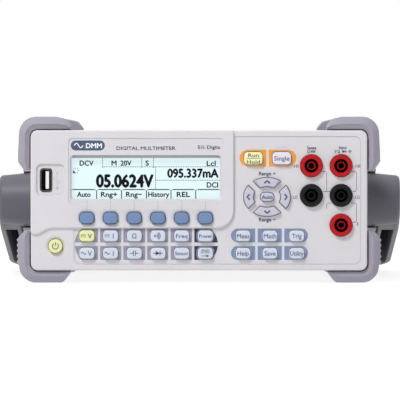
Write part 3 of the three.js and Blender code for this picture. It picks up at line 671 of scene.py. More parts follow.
def bezel_face():
    """The flange and the skirt behind it, with the overlay's recess and the power key's dish."""
    holes = [key_hole(outline, OVERLAY_Y) for _, outline, _ in lower_keys()]
    holes += [opening(circle(x, z, JACK_R + 0.4), [(0, OVERLAY_Y)]) for _, x, z, _ in JACKS]
    overlay = opening(overlay_outline(), [(0.15, PANEL_Y), (0, OVERLAY_Y)], True, holes)
    power = opening(circle(POWER_X, POWER_Z, 5.9), [(0.2, PANEL_Y), (-0.4, PANEL_Y + 0.5)], True,
                    [key_hole(circle(POWER_X, POWER_Z, POWER_R), PANEL_Y + 0.5)])
    behind = [opening(centred(x, SOFT_Z, 10.4, 8.4, 3), [(0, PANEL_Y)]) for x in COLUMN_X]
    behind.append(opening(rounded(-83.2, 14.8, 52.6, 83, 2.4), [(0, PANEL_Y)]))
    behind.append(opening(inset(centred(USB_X, USB_Z, *USB_SLOT), -0.3), [(0, PANEL_Y)]))
    face, body = rounded(*FACE, FACE_RADIUS, 8), rounded(*BODY, BODY_RADIUS, 8)
    front = panel(face, soft_edge(PANEL_Y, 1.2), WALL_BACK_Y, [overlay, power, *behind])
    rim = panel(face, [(0, WALL_BACK_Y)], FLANGE_BACK_Y,
                [opening(inset(body, WALL), [(0, WALL_BACK_Y)])])
    skirt = panel(body, [(0, FLANGE_BACK_Y)], BEZEL_BACK_Y,
                  [opening(inset(body, WALL), [(0, FLANGE_BACK_Y)])])
    piece("bezel_face", front.add(rim).add(skirt), "bezel", replaces=["front_bezel"])


# ---------------------------------------------------------------- keys
def key_cap(name, outline, front, material):
    profile = [(KEY_EDGE, front), (KEY_EDGE * 0.45, front + 0.12), (KEY_EDGE * 0.12, front + 0.4),
               (0, front + 0.9)]
    piece(f"{name}_cap", panel(outline, profile, KEY_BACK_Y), material, name, [name])


def keys():
    for i, x in enumerate(COLUMN_X):
        key_cap(f"softkey_{i + 1}", centred(x, SOFT_Z, *SOFT_KEY), SOFT_FRONT_Y, "soft_key")
    for name, outline, material in lower_keys():
        key_cap(name, outline, KEY_FRONT_Y, material)
    key_cap("key_power", circle(POWER_X, POWER_Z, POWER_R), KEY_FRONT_Y, "lit_key")


def sine(x, z, width, height):
    return [(x - width / 2 + width * i / 16, z + height / 2 * math.sin(2 * math.pi * i / 16))
            for i in range(17)]


def write(body, text, x, z, height=2.5, width=None, bold=0.04):
    letters(text, x, z, height, KEY_FRONT_Y, "print_keys", body, width, bold)


def line(body, points, width=LEGEND, closed=False):
    stroke(points, width, KEY_FRONT_Y, "print_keys", body, closed)


def arrow(body, points):
    patch(points, KEY_FRONT_Y, "print_keys", body)


def volt_and_current_legends():
    x1, x2 = COLUMN_X[:2]
    high, low = ROW_Z
    for body, x in (("key_dc_volts", x1), ("key_dc_current", x2)):
        line(body, [(x - 3.9, high + 0.6), (x - 0.7, high + 0.6)])
        for start in (-3.9, -2.7, -1.5):
            line(body, [(x + start, high - 0.6), (x + start + 0.75, high - 0.6)])
    line("key_ac_volts", sine(x1 - 2.2, low, 3.2, 1.5))
    line("key_ac_current", sine(x2 - 2.2, low, 3.2, 1.5))
    for names, z in zip(FUNCTION_KEYS, ROW_Z):
        write(names[0], "V", x1 + 1.9, z, 3.1)
        write(names[1], "I", x2 + 1.7, z, 3.1)


def upper_row_legends():
    x3, x4, x5, x6 = COLUMN_X[2:]
    z = ROW_Z[0]
    write("key_resistance", "\u03a9", x3, z, 3.1)
    line("key_continuity", arc(x4 - 1.9, z, 0.45, 0, 324, 9), closed=True)
    for r in (1.1, 2.0, 2.9):
        line("key_continuity", arc(x4 - 1.5, z, r, -52, 52, 8))
    write("key_frequency", "Freq", x5, z, 2.5, 7.4)
    write("key_preset", "Preset", x6, z, 2.3, 8.2)


def lower_row_legends():
    x3, x4, x5, x6 = COLUMN_X[2:]
    z = ROW_Z[1]
    for side in (-1, 1):
        line("key_capacitance", [(x3 + 0.6 * side, z - 1.7), (x3 + 0.6 * side, z + 1.7)])
        line("key_capacitance", [(x3 + 0.6 * side, z), (x3 + 2.7 * side, z)])
    line("key_diode", [(x4 - 3.1, z), (x4 + 3.1, z)])
    line("key_diode", [(x4 + 1.3, z - 1.6), (x4 + 1.3, z + 1.6)])
    arrow("key_diode", [(x4 - 1.5, z - 1.5), (x4 + 1.1, z), (x4 - 1.5, z + 1.5)])
    write("key_sensor", "Sensor", x5, z, 2.3, 8.4)
    write("key_second", "2ND", x6, z + 1.7, 1.9, 5.4)
    line("key_second", [(x6 - 3.2, z + 0.2), (x6 + 3.2, z + 0.2)], 0.25)
    line("key_second", [(x6 - 2.6, z - 1.7), (x6 + 0.8, z - 1.7)], 0.4)
    arrow("key_second", [(x6 + 0.6, z - 2.6), (x6 + 2.6, z - 1.7), (x6 + 0.6, z - 0.8)])


def word_legends():
    for names, z, words in zip(MENU_KEYS, ROW_Z, MENU_WORDS):
        for name, x, (word, width) in zip(names, MENU_X, words):
            write(name, word, x, z, 3, width)
    write("key_run_hold", "Run", RUN_X, RUN_Z + 2, 2.5, 6.8)
    line("key_run_hold", [(RUN_X - 4.5, RUN_Z), (RUN_X + 4.5, RUN_Z)], 0.3)
    write("key_run_hold", "Hold", RUN_X, RUN_Z - 2.3, 2.5, 8.4)
    write("key_single", "Single", SINGLE_X, RUN_Z, 3, 9.8)
    write("key_auto", "Auto", NAV_X, NAV_Z, 2.4, 7, 0.09)


def nav_and_power_legends():
    steps = [("nav_right", 1, 0), ("nav_up", 0, 1), ("nav_left", -1, 0), ("nav_down", 0, -1)]
    tip, wing = 0.8, 1.8
    for name, dx, dz in steps:
        x, z = NAV_X + 12 * dx, NAV_Z + 9.6 * dz
        line(name, [(x - tip * dx + wing * dz, z - tip * dz + wing * dx),
                    (x + tip * dx, z + tip * dz),
                    (x - tip * dx - wing * dz, z - tip * dz - wing * dx)], 1.15)
    line("key_power", arc(POWER_X, POWER_Z, 1.9, 125, 415, 20), 0.55)
    line("key_power", [(POWER_X, POWER_Z + 0.3), (POWER_X, POWER_Z + 2.5)], 0.55)


# ---------------------------------------------------------------- printing on the panels
def tile(left, right, bottom, top, round_left, round_right, mid, radius):
    """A printed area; a round end follows a circle that touches the tile's far side."""
    def side(x, direction, start, end):
        centre = x - direction * radius
        return [(centre + direction * math.sqrt(max(0, radius ** 2 - (z - mid) ** 2)), z)
                for z in (start + (end - start) * i / 10 for i in range(11))]

    near = side(left, -1, top, bottom) if round_left else [(left, top), (left, bottom)]
    far = side(right, 1, bottom, top) if round_right else [(right, bottom), (right, top)]
    return near + far


def tiles():
    outlines = {name: inset(outline, -0.7) for name, outline, _ in lower_keys()}

    def lay(name, column, columns, row, material, mid, radius):
        left, right = columns[column]
        shape = tile(left, right, *TILE_ROWS[row], column == 0, column == len(columns) - 1,
                     mid, radius)
        patch(shape, OVERLAY_Y, material, holes=[outlines[name]])

    for row in (0, 1):
        for column, name in enumerate(FUNCTION_KEYS[row]):
            color = "tile_navy" if column == 5 else "tile_violet"
            lay(name, column, TILE_COLUMNS, row, color, TILE_MID_Z, TILE_END_R)
        for column, name in enumerate(MENU_KEYS[row]):
            lay(name, column, MENU_COLUMNS, row, "tile_blue", sum(TILE_ROWS[row]) / 2, MENU_END_R)
    for name, left, right in (("key_run_hold", 26, 43.2), ("key_single", 44.8, 62.4)):
        shape = tile(left, right, 74.7, 85.5, left < 40, left > 40, 80.1, 5.45)
        patch(shape, OVERLAY_Y, "print_orange", holes=[outlines[name]])


def panel_printing():
    for text, x, z, height, width, bold, color in PANEL_WORDS:
        letters(text, x, z, height, OVERLAY_Y, color, width=width, bold=bold)
    stroke([(91.6, 84.4), (94.8, 84.4)], 0.3, OVERLAY_Y, "print_dark")
    patch([(92.1, 83.4), (93.9, 84.4), (92.1, 85.4)], OVERLAY_Y, "print_dark")
    stroke([(94, 83.4), (94, 85.4)], 0.35, OVERLAY_Y, "print_dark")
    for x in (96.4, 97.1):
        stroke([(x, 83.4), (x, 85.4)], 0.35, OVERLAY_Y, "print_dark")
    for x in (95.5, 97.2):
        stroke([(x, 84.4), (x + 0.8, 84.4)], 0.3, OVERLAY_Y, "print_dark")
    # A thin darker line just inside the overlay's edge: painted shade along the step round the
    # overlay.
    stroke(inset(overlay_outline(), 0.25), 0.3, OVERLAY_Y, "print_pale", closed=True)
    brackets()
    title_printing()
    usb_mark()


def bracket(left_x, top, x, bottom, right_x):
    """A line that joins two jacks: out of the upper one, down, and back to the lower one."""
    r = 1.2
    corner = arc(x - r, top - r, r, 90, 0, 4) + arc(x - r, bottom + r, r, 0, -90, 4)
    stroke([(left_x, top), *corner, (right_x, bottom)], 0.35, OVERLAY_Y, "print_grey")


def brackets():
    bracket(78.8, 71.5, 81.9, 58.7, 79.6)
    stroke([(80.9, 58.7), (84.2, 58.7)], 0.35, OVERLAY_Y - PRINT, "print_grey")
    bracket(97.8, 71.5, 101, 58.7, 98.6)
    bracket(97.8, 51.3, 101, 38.9, 98.4)
    stroke([(84.6, 51.3), *arc(83.1, 50.1, 1.2, 90, 180, 4), (81.9, 47.4)], 0.35, OVERLAY_Y,
           "print_grey")


def title_printing():
    """A title, and a badge of this file's own design, in the recess over the display."""
    letters("DIGITAL MULTIMETER", -34, 86.5, 2.3, RECESS_Y, "print_dark", width=37.9, bold=0.05)
    letters("5\u00bd Digits", 6.3, 87.2, 2.3, RECESS_Y, "print_dark", width=14.4, bold=0.05)
    patch(rounded(-82.2, -60.4, 85, 91.4, 3.1), RECESS_Y, "badge_slate")
    letters("DMM", -67.4, 88.2, 3.2, RECESS_Y - 2 * PRINT, "print_white", width=10.4, bold=0.14)
    stroke(sine(-77.2, 88.2, 5.6, 2.8), 0.6, RECESS_Y - 2 * PRINT, "print_white")
    for x in COLUMN_X:
        stroke([(x, 46.9), (x, 50.6)], 0.4, 0, "print_pale")
        stroke([(x, 51.1), (x, 52.8)], 0.4, RECESS_Y, "print_pale")


def usb_mark():
    """The plain trident that marks a serial bus socket."""
    y = USB_RECESS_Y
    stroke([(-91, 61), (-91, 70.2)], 0.3, y, "print_pale")
    patch([(-91.7, 70), (-90.3, 70), (-91, 71.6)], y, "print_pale")
    patch(circle(-91, 60.8, 0.8, 16), y, "print_pale")
    stroke([(-91, 63.2), (-89.3, 64.8), (-89.3, 66.6)], 0.3, y, "print_pale")
    stroke([(-91, 64.8), (-92.7, 66.4), (-92.7, 68.2)], 0.3, y, "print_pale")


# ---------------------------------------------------------------- display
def screen():
    left, right, bottom, top = WINDOW
    glass = panel(rounded(left - 1.2, right + 1.2, bottom - 1.2, top + 1.2, 1), [(0, SCREEN_Y)],
                  SCREEN_Y + 0.5)
    piece("lcd_screen", glass, "screen", replaces=["display_window"])
    # A grey band across the top of the glass, just under the window's upper edge: painted shade of
    # that edge.
    patch(rounded(left - 1, right + 1, 80.2, top + 1, 0.3), SCREEN_Y, "window_border")
    lcd_texts()
    lcd_lines()
    lcd_tabs()


def lcd_texts():
    tabs = [(word, (left + right) / 2, TAB_TEXT_Z, 3.3, width, 0.14)
            for left, right, (word, width) in zip(TAB_X, TAB_X[1:], TAB_WORDS)]
    for text, x, z, height, width, bold in LCD_WORDS + tabs:
        letters(text, x, z, height, SCREEN_Y, "lcd_ink", width=width, bold=bold)


def dots(start, end, pitch=1.1, width=0.46):
    """A dotted line on the display."""
    (ax, az), (bx, bz) = start, end
    length = math.hypot(bx - ax, bz - az)
    dx, dz = (bx - ax) / length, (bz - az) / length
    for i in range(int(length / pitch) + 1):
        x, z = ax + dx * pitch * i, az + dz * pitch * i
        stroke([(x, z), (x + dx * 0.6, z + dz * 0.6)], width, SCREEN_Y, "lcd_ink")


def lcd_lines():
    upper, lower, split = 74.5, 65.9, -27.9
    for x in (-62, -36.8, -29.3):
        dots((x, 80), (x, upper))
    dots((-62, upper), (12.8, upper))
    dots((split, upper), (split, 60.4))
    dots((split, lower), (12.8, lower))
    for x, z in circle(-79.2, 72.1, 1.6, 8):
        patch(circle(x, z, 0.3, 8), SCREEN_Y, "lcd_ink")
    patch(rounded(-81, -79.7, 70.4, 71.7, 0.2), SCREEN_Y - LAYER, "lcd_ink")


def lcd_tabs():
    r = 1.2
    for left, right in zip(TAB_X, TAB_X[1:]):
        near, far = left + 0.14, right - 0.14
        outline = ([(near, 54)] + arc(near + r, TAB_TOP - r, r, 180, 90, 4)
                   + arc(far - r, TAB_TOP - r, r, 90, 0, 4) + [(far, 54)])
        stroke(outline, LCD_LINE / 2, SCREEN_Y, "lcd_ink")
        stroke([(near + r, TAB_TOP), (far - r, TAB_TOP)], LCD_LINE, SCREEN_Y - LAYER, "lcd_ink")


# ---------------------------------------------------------------- jacks and USB socket
def jacks():
    for name, x, z, color in JACKS:
        shell = [(0, 20), (1.95, 20), (1.95, 1.4), (2.15, 0.6), (2.5, 0.6), (2.62, 0.8), (2.62, 17),
                 (4.5, 17), (4.5, -0.35), (4.75, -0.6), (6.7, -0.6), (6.95, -0.45), (JACK_R, -0.1),
                 (JACK_R, 4.4), (8.5, 4.4), (8.5, 6.2), (6.4, 6.2), (6.4, 27), (0, 27)]
        piece(f"{name}_body", lathe(shell, x, z, 64), color, replaces=[name])
        # Dark sheets lining the groove and the bore, a near-black disc at the bore's bottom, and
        # darkened brass on the contact: painted shade inside the jack.
        groove_shade = [(2.64, 16.9), (2.64, 1.1), (2.7, 1.1), (2.7, 16), (4.38, 16), (4.38, -0.05),
                  (4.48, -0.05), (4.48, 16.9)]
        hollow_shade = "red_hollow_shade" if color == "red" else "hole"
        piece(f"{name}_groove", lathe(groove_shade, x, z, 48), hollow_shade)
        liner_shade = [(1.72, 19.5), (1.72, 1.9), (1.93, 1.5), (1.93, 19.5)]
        piece(f"{name}_liner", lathe(liner_shade, x, z, 32), hollow_shade)
        contact = [(1.5, 19.5), (1.5, 15), (1.7, 15), (1.7, 19.5)]
        piece(f"{name}_contact", lathe(contact, x, z, 32), "shaded_brass")
        bottom = [(0, 17), (1.48, 17), (1.48, 19.8), (0, 19.8)]
        piece(f"{name}_bore_shade", lathe(bottom, x, z, 24), "hole")


def usb_socket():
    width, height, wall, front, back = 7.2, 14.3, 0.6, 0.7, 14.6
    mouth = opening(centred(USB_X, USB_Z, width - 2 * wall, height - 2 * wall, 1.3, 4),
                    [(0.15, front), (0, front + 0.2)])
    shell = panel(centred(USB_X, USB_Z, width, height, 1.7, 5), [(0.15, front), (0, front + 0.15)],
                  back, [mouth])
    piece("usb_shell", shell, "dark_chrome", replaces=["usb_socket"])
    # A near-black block behind the socket's mouth: painted shade inside it.
    inside = block(USB_X - 3.1, USB_X + 3.1, 12, 14, USB_Z - 6.7, USB_Z + 6.7)
    piece("usb_back_shade", inside, "hole")
    tongue = block(USB_X - 0.3, USB_X + 1.9, 1.4, 12.5, USB_Z - 5.7, USB_Z + 5.7)
    piece("usb_tongue", tongue, "tongue", bevel=0.25)
    for i in range(4):
        z = USB_Z - 3.9 + i * 2.6
        strip = block(USB_X - 0.42, USB_X - 0.2, 2.4, 11, z - 0.55, z + 0.55)
        piece(f"usb_contact_{i + 1}", strip, "brass")


# ---------------------------------------------------------------- corner bumpers
def lower_stations():
    """Points along the lower right bumper: outer edge, the same without teeth, and inner edge."""
    inner_x = FACE[1] + BUMPER_CLEAR
    start_z = FACE[2] + FACE_RADIUS
    stations = [((112.6, 33.2), (112.6, 33.2), (inner_x, 33.2)),
                ((115, 30.4), (114.8, 30.4), (inner_x, 30.4))]
    for i in range(TEETH):
        for drop, x in ((0, TOOTH_X), (TOOTH_PITCH / 2, TOOTH_X - TOOTH_DEPTH)):
            z = TOOTH_TOP_Z - TOOTH_PITCH * i - drop
            stations.append(((x, z), (TOOTH_X - TOOTH_DEPTH, z), (inner_x, max(z, start_z))))
    outer = arc(BUMPER_X - BUMPER_R, BUMPER_R, BUMPER_R, 0, -90, 12)
    inner = arc(FACE[1] - FACE_RADIUS, start_z, FACE_RADIUS + BUMPER_CLEAR, 0, -90, 12)
    stations += [(a, a, b) for a, b in zip(outer, inner)]
    level = FACE[2] - BUMPER_CLEAR
    for x, z in ((96, 0), (89.2, 0), (88, 0.2), (87, 0.9), (85.2, 3.3), (BUMPER_END_X, 6.8)):
        stations.append(((x, z), (x, z), (x, level)))
    return stations


def upper_stations():
    inner_x = FACE[1] + BUMPER_CLEAR
    start_z = FACE[3] - FACE_RADIUS
    sides = [(112.6, 72.4), (114.4, 74.9), (116.2, 77.4), (116.5, 78.4), (116.4, 84), (116.1, 90)]
    stations = [(point, point, (inner_x, point[1])) for point in sides]
    outer = arc(BUMPER_X - BUMPER_R, BUMPER_TOP - BUMPER_R, BUMPER_R, 0, 90, 12)
    inner = arc(FACE[1] - FACE_RADIUS, start_z, FACE_RADIUS + BUMPER_CLEAR, 0, 90, 12)
    stations += [(a, a, b) for a, b in zip(outer, inner)]
    level = FACE[3] + BUMPER_CLEAR
    ends = [(98, BUMPER_TOP), (93, BUMPER_TOP), (91, 106.6), (87.4, 105.8), (85.6, 105), (84, 103),
            (BUMPER_END_X, 100.8)]
    stations += [((x, z), (x, z), (x, level)) for x, z in ends]
    return stations


def bumper_corner(stations, section):
    solid = Solid()
    rails = []
    for g, y in section:
        rail = []
        for outer, smooth, inner in stations:
            far = outer if g > SMOOTH_BELOW else smooth
            rail.append((inner[0] + (far[0] - inner[0]) * g, y, inner[1] + (far[1] - inner[1]) * g))
        rails.append(solid.ring(rail))
    for a, b in zip(rails, rails[1:] + rails[:1]):
        solid.wall(a, b, closed=False)
    solid.faces.append(tuple(rail[0] for rail in rails))
    solid.faces.append(tuple(rail[-1] for rail in rails))
    return solid


def sideways(solid, x):
    """A plate drawn in x and z is turned to lie on the right-hand side, facing out at x."""
    return solid.mapped(lambda a, depth, z: (x - depth, a, z))


def side_strap(front, back):
    """The thin strap that joins the two corners of a bumper along the case's side."""
    strap = panel(rounded(front, back, 30.4, 75.6, 3), soft_edge(0, 0.5), 1.2)
    for i in range(5):
        z = 38 + 7.5 * i
        rib = panel(rounded(front + 5, back - 5, z - 1, z + 1, 1),
                    [(0.5, -0.5), (0.15, -0.35), (0, 0)], 0.4)
        strap.add(rib)
    return sideways(strap, 107.9)


def bumpers():
    ends = (("front", FRONT_SECTION, (13.2, 44.4)), ("rear", REAR_SECTION, (249, 289.8)))
    for end, section, strap in ends:
        for side, sign in (("left", -1), ("right", 1)):
            solid = bumper_corner(lower_stations(), section)
            solid.add(bumper_corner(upper_stations(), section))
            solid.add(side_strap(*strap))
            solid.mapped(lambda x, y, z: (sign * x, y, z))
            piece(f"bumper_{end}_{side}_rubber", solid, "bumper",
                  replaces=[f"bumper_{end}_{side}"], sharp=28)


# ---------------------------------------------------------------- handle and its pivots
def turned_x(profile, sign, start=0, end=360, steps=72):
    """A round piece about the handle's axis from its (radius, x) profile, whole or part of a turn,
    centred on the origin; sign -1 puts it on the left."""
    solid = Solid()
    whole = end - start == 360
    count = steps if whole else steps + 1
    angles = [math.radians(start + (end - start) * i / steps) for i in range(count)]
    rings = [solid.ring([(sign * x, r * math.cos(a), r * math.sin(a)) for a in angles])
             for r, x in profile]
    for a, b in zip(rings, rings[1:] + rings[:1]):
        solid.wall(a, b, closed=whole)
    if not whole:
        solid.faces.append(tuple(ring[0] for ring in rings))
        solid.faces.append(tuple(ring[-1] for ring in rings))
    return solid


def bow_stations():
    """Along the bow, right arm first: a map from the distance in from its outer face to (x, y),
    and how far along the arm the place is."""
    end = REACH - BOW_CORNER
    centre_x = HANDLE_X - BOW_CORNER
    along = [2, 8, 14, 20, 23, 25, 28, 60, 100, 130, end - 3]
    right = [(lambda o, y=y: (HANDLE_X - o, y), y) for y in along]
    for i in range(19):
        a = math.radians(5 * i)
        turn = (lambda o, a=a: (centre_x + (BOW_CORNER - o) * math.cos(a),
                                end + (BOW_CORNER - o) * math.sin(a)))
        right.append((turn, REACH))
    right += [(lambda o, x=x: (x, REACH - o), REACH) for x in (80, 40)]
    middle = [(lambda o: (0, REACH - o), REACH)]
    left = [((lambda o, place=place: (-place(o)[0], place(o)[1])), y) for place, y in right]
    return right + middle + left[::-1]


def bow_section(reach):
    """The bow's section as (distance in, height): a rounded bar, hollow below beyond the hub."""
    half = HALF_WIDTH - 2.6 * max(0, 1 - reach / 24) ** 1.5
    hollow = min(1, max(0, (reach - 20) / 6))
    roof = -half + 0.6 + (BOW_ROOF + HALF_WIDTH - 0.6) * hollow
    inside = STRAP - BOW_INNER_WALL
    top = arc(3.5, half - 3.5, 3.5, 180, 90, 5) + arc(STRAP - 3.5, half - 3.5, 3.5, 90, 0, 5)
    rim = arc(STRAP - 0.8, 0.8 - half, 0.8, 0, -90, 3)
    rim += [(inside + 0.5, -half), (inside, 0.4 - half)]
    channel = [(inside, roof - 0.1), (inside - 0.4, roof), (BOW_WALL + 0.4, roof),
               (BOW_WALL, roof - 0.1), (BOW_WALL, 0.4 - half), (BOW_WALL - 0.5, -half)]
    return top + rim + channel + arc(0.9, 0.9 - half, 0.9, 270, 180, 3)


def handle():
    bow = Solid()
    rings = []
    for place, reach in bow_stations():
        rings.append(bow.ring([(*place(o), z) for o, z in bow_section(reach)]))
    for a, b in zip(rings, rings[1:]):
        bow.wall(a, b)
    bow.faces += [tuple(rings[0]), tuple(rings[-1])]
    hub = ([(6.3, 109.8), (18.2, 109.8), (18.6, 110.2), (18.4, 112), (16.5, 130)]
           + [(13.6 + 2.9 * math.cos(math.radians(15 * i)),
               131.2 + 3.3 * math.sin(math.radians(15 * i))) for i in range(1, 7)]
           + [(12.4, 134.5), (12, 133.9), (0.01, 133.9), (0.01, 124.4), (6.3, 124.4)])
    cosine, sine_of = math.cos(HANDLE_DROP), math.sin(HANDLE_DROP)
    for sign in (-1, 1):
        bow.add(turned_x(hub, sign))
    bow.mapped(lambda x, y, z: (x, HUB_Y + y * cosine + z * sine_of,
                                HUB_Z - y * sine_of + z * cosine))
    piece("handle_bow", bow, "handle", "handle", ["carry_handle"])


def pivots():
    plate = [(0.01, 106.4), (20.8, 106.4), (21.2, 106.8), (21.2, 108.9), (20.9, 109.2),
             (0.01, 109.2)]
    collar = [(19.25, 108.8), (21.2, 108.8), (21.2, 118), (20.9, 118.5), (20.4, 118.7),
              (19.6, 118.7), (19.3, 118.4)]
    axle = [(0.01, 108), (5.9, 108), (5.9, 123.5), (5.5, 123.9), (0.01, 123.9)]
    for side, sign in (("left", -1), ("right", 1)):
        base = turned_x(plate, sign)
        base.add(turned_x(collar, sign, -100, 100)).add(turned_x(axle, sign))
        base.mapped(lambda x, y, z: (x, HUB_Y + y, HUB_Z + z))
        piece(f"pivot_collar_{side}", base, "pivot", replaces=[f"pivot_base_{side}"])


# ---------------------------------------------------------------- case
def temporary(solid):
    mesh = bpy.data.meshes.new("temporary")
    mesh.from_pydata(solid.verts, [], solid.faces)
    tidy_normals(mesh)
    return add_object("temporary", mesh)


def subtract(solid, cutter):
    """The solid with the cutter's shape taken out; the cutter's parts may not overlap."""
    body, tool = temporary(solid), temporary(cutter)
    cut = body.modifiers.new("cut", "BOOLEAN")
    cut.object = tool
    cut.operation = "DIFFERENCE"
    cut.solver = "EXACT"
    shape = body.evaluated_get(bpy.context.evaluated_depsgraph_get()).to_mesh()
    if not shape.polygons:
        raise ValueError("the cut left nothing of the solid")
    result = Solid()
    result.verts = [tuple(v.co) for v in shape.vertices]
    result.faces = [tuple(face.vertices) for face in shape.polygons]
    for obj in (body, tool):
        bpy.data.objects.remove(obj)
    return result


def case():
    body = rounded(*BODY, BODY_RADIUS, 8)
    sleeve = panel(body, [(0.25, CASE[0]), (0, CASE[0] + 0.25)], CASE[1],
                   [opening(inset(body, SHEET), [(0, CASE[0])])])
    slots = Solid()
    for i in range(VENT_COUNT):
        front = VENT_Y + VENT_PITCH * i
        outline = rounded(front, front + VENT_WIDTH, *VENT_Z, VENT_RADIUS)
        slots.add(sideways(panel(outline, [(0, 0)], 240), 120))
    piece("case_shell", subtract(sleeve, slots), "case", replaces=["case_sleeve"])


# ---------------------------------------------------------------- rear panel
def rearward(solid, face_y):
    """Turns a piece drawn facing the front round to face the rear, its front at face_y."""
    return solid.mapped(lambda x, y, z: (x, face_y - y, z))


def power_inlet():
    x = INLET_X
    socket = [(x - 12, 22), (x + 12, 22), (x + 12, 33.4), (x + 7.4, 38), (x - 7.4, 38),
              (x - 12, 33.4)]
    well = rounded(x - 6.3, x + 6.3, 48.7, 68.3, 0.8)
    plate = panel(rounded(x - 15.7, x + 15.7, 16, 72, 2), soft_edge(0, 0.6), 2,
                  [opening(socket, [(0.4, 0), (0, 0.5)]), opening(well, [(0.3, 0), (0, 0.3)])])
    body = panel(rounded(x - 13.7, x + 13.7, 19, 69, 1), [(0, 2)], 24,
                 [opening(socket, [(0, 2), (0, 17)], True), opening(well, [(0, 2), (0, 11)], True)])
    piece("inlet_body", rearward(plate.add(body), REAR_FACE_Y), "black",
          replaces=["power_inlet"])
    pins = Solid()
    for dx, z in ((-7, 27.5), (7, 27.5), (0, 32)):
        pins.add(block(x + dx - 1, x + dx + 1, 4, 18, z - 2, z + 2))
    piece("inlet_pins", rearward(pins, REAR_FACE_Y), "steel", bevel=0.3)


def rounded_copy(node, name, material, body, width):
    """A CAD node's own shape with its edges rounded, in place of the node."""
    obj = add_object(name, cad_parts[node].data.copy())
    obj.data.materials.clear()
    obj.data.materials.append(MAT[material])
    tidy_normals(obj.data)
    bevel_edges(obj, width, 3, 20)
    hand_over(obj, body, [node])


def fuse():
    x, z = FUSE_X, FUSE_Z
    ring = [(5.5, 0.1), (9, 0.1), (9.4, 0.5), (9.4, 3), (7, 3), (7, 36), (5.5, 36)]
    piece("fuse_ring", rearward(lathe(ring, x, z), REAR_Y + 3.4), "black",
          replaces=["fuse_holder"])
    cap = lathe([(0, 0), (6.6, 0), (7.3, 0.3), (7.6, 1), (7.6, 4.3), (5, 4.3), (5, 12), (3.2, 12),
                 (3.2, 36), (0, 36)], x, z)
    flutes = Solid()
    for i in range(FLUTES):
        angle = 2 * math.pi * (i + 0.5) / FLUTES
        flutes.add(lathe([(0, 0.9), (0.55, 0.9), (0.55, 5), (0, 5)], x + 7.75 * math.cos(angle),
                         z + 7.75 * math.sin(angle), 8))
    knob = subtract(subtract(cap, block(x - 9, x + 9, -1, 1.3, z - 0.8, z + 0.8)), flutes)
    piece("fuse_cap_knob", rearward(knob, REAR_Y + 8), "black", "fuse_cap", ["fuse_cap"])


def coaxial_connectors():
    profile = [(0, 2), (2, 2), (2.3, 2.3), (2.3, 7), (4.1, 7), (4.1, 0.2), (4.3, 0), (4.6, 0),
               (4.8, 0.2), (4.8, 7.6), (7, 7.6), (7, 9.6), (5, 9.6), (5, 24), (0, 24)]
    for name, x in CONNECTOR_X.items():
        shell = lathe(profile, x, CONNECTOR_Z)
        for sign in (-1, 1):
            lug = lathe([(0, 0), (0.9, 0), (1, 0.1), (1, 1.6), (0, 1.6)], 0, 0, 20)
            shell.add(lug.mapped(lambda a, depth, c: (x + sign * (6.2 - depth), 3.4 + a,
                                                      CONNECTOR_Z + c)))
        piece(f"{name}_shell", rearward(shell, REAR_Y + 10), "steel", replaces=[name])


def d_outline(x, z, width, height, lean=1.4, r=1.6):
    """A D-shaped connector outline, wider at its top."""
    low, high = width / 2 - lean, width / 2
    bottom, top = z - height / 2, z + height / 2
    return (arc(x + low - r, bottom + r, r, -90, -10, 4)
            + arc(x + high - r, top - r, r, -10, 90, 4)
            + arc(x - high + r, top - r, r, 90, 190, 4)
            + arc(x - low + r, bottom + r, r, 190, 270, 4))


def d_sockets():
    """Shells, insulators, contacts and jack posts of the two D-shaped sockets."""
    for name, x, z, width, height, pins in D_SOCKETS:
        outline = d_outline(x, z, width, height)
        shell = panel(outline, [(0.1, 0), (0, 0.15)], 6,
                      [opening(inset(outline, 0.5), [(0, 0)])])
        piece(f"{name}_shell", rearward(shell, REAR_Y + 2.6), "steel")
        core = panel(inset(outline, 1.6), [(0.2, 0), (0, 0.2)], 4)
        piece(f"{name}_insulator", rearward(core, REAR_Y + 0.9), "black")
        contacts = Solid()
        for row in (-1, 1):
            for i in range(pins):
                at = x + (i - (pins - 1) / 2) * (width - 7) / (pins - 1)
                contacts.add(lathe([(0, 0), (0.35, 0), (0.45, 0.1), (0.45, 1), (0, 1)], at,
                                   z + 1.2 * row, 12))
        piece(f"{name}_contacts", rearward(contacts, REAR_Y + 1.2), "brass")
        posts = Solid()
        for sign in (-1, 1):
            posts.add(lathe([(0, 0.3), (1.2, 0.3), (1.2, 0), (2.4, 0), (2.6, 0.3), (2.6, 5),
                             (0, 5)], x + sign * (width / 2 + 4.2), z, 6))
        piece(f"{name}_posts", rearward(posts, REAR_Y + 4.2), "steel")


def socket_housings():
    for name, x, width, height, mouth, depth, color in HOUSINGS:
        z = SOCKET_Z + height / 2
        rim = centred(x, z, width + 0.3, height + 0.2, 0.5, 3)
        lining = centred(x, z, mouth[0] - 0.2, mouth[1] - 0.2, 0.3, 3)
        shell = panel(rim, [(0.2, 0), (0, 0.2)], depth + 0.8,
                      [opening(lining, [(0.15, 0), (0, 0.2), (0, depth)], True)])
        piece(f"{name}_housing", rearward(shell, REAR_Y + 1.8), color)


def screws():
    """Pan-head screws with cross recesses that hold the rear panel."""
    for i, (x, z) in enumerate(SCREWS):
        head = lathe([(0, 0), (1.6, 0.1), (2.5, 0.5), (2.8, 1.1), (2.8, 1.7), (0, 1.7)], x, z, 32)
        cross = block(x - 1.5, x + 1.5, -1, 0.9, z - 0.3, z + 0.3)
        upright = block(x - 0.3, x + 0.3, -1, 0.9, z - 1.5, z + 1.5)
        solid = subtract(subtract(head, cross), upright)
        piece(f"rear_screw_{i + 1}", rearward(solid, REAR_Y + 1.6), "steel")


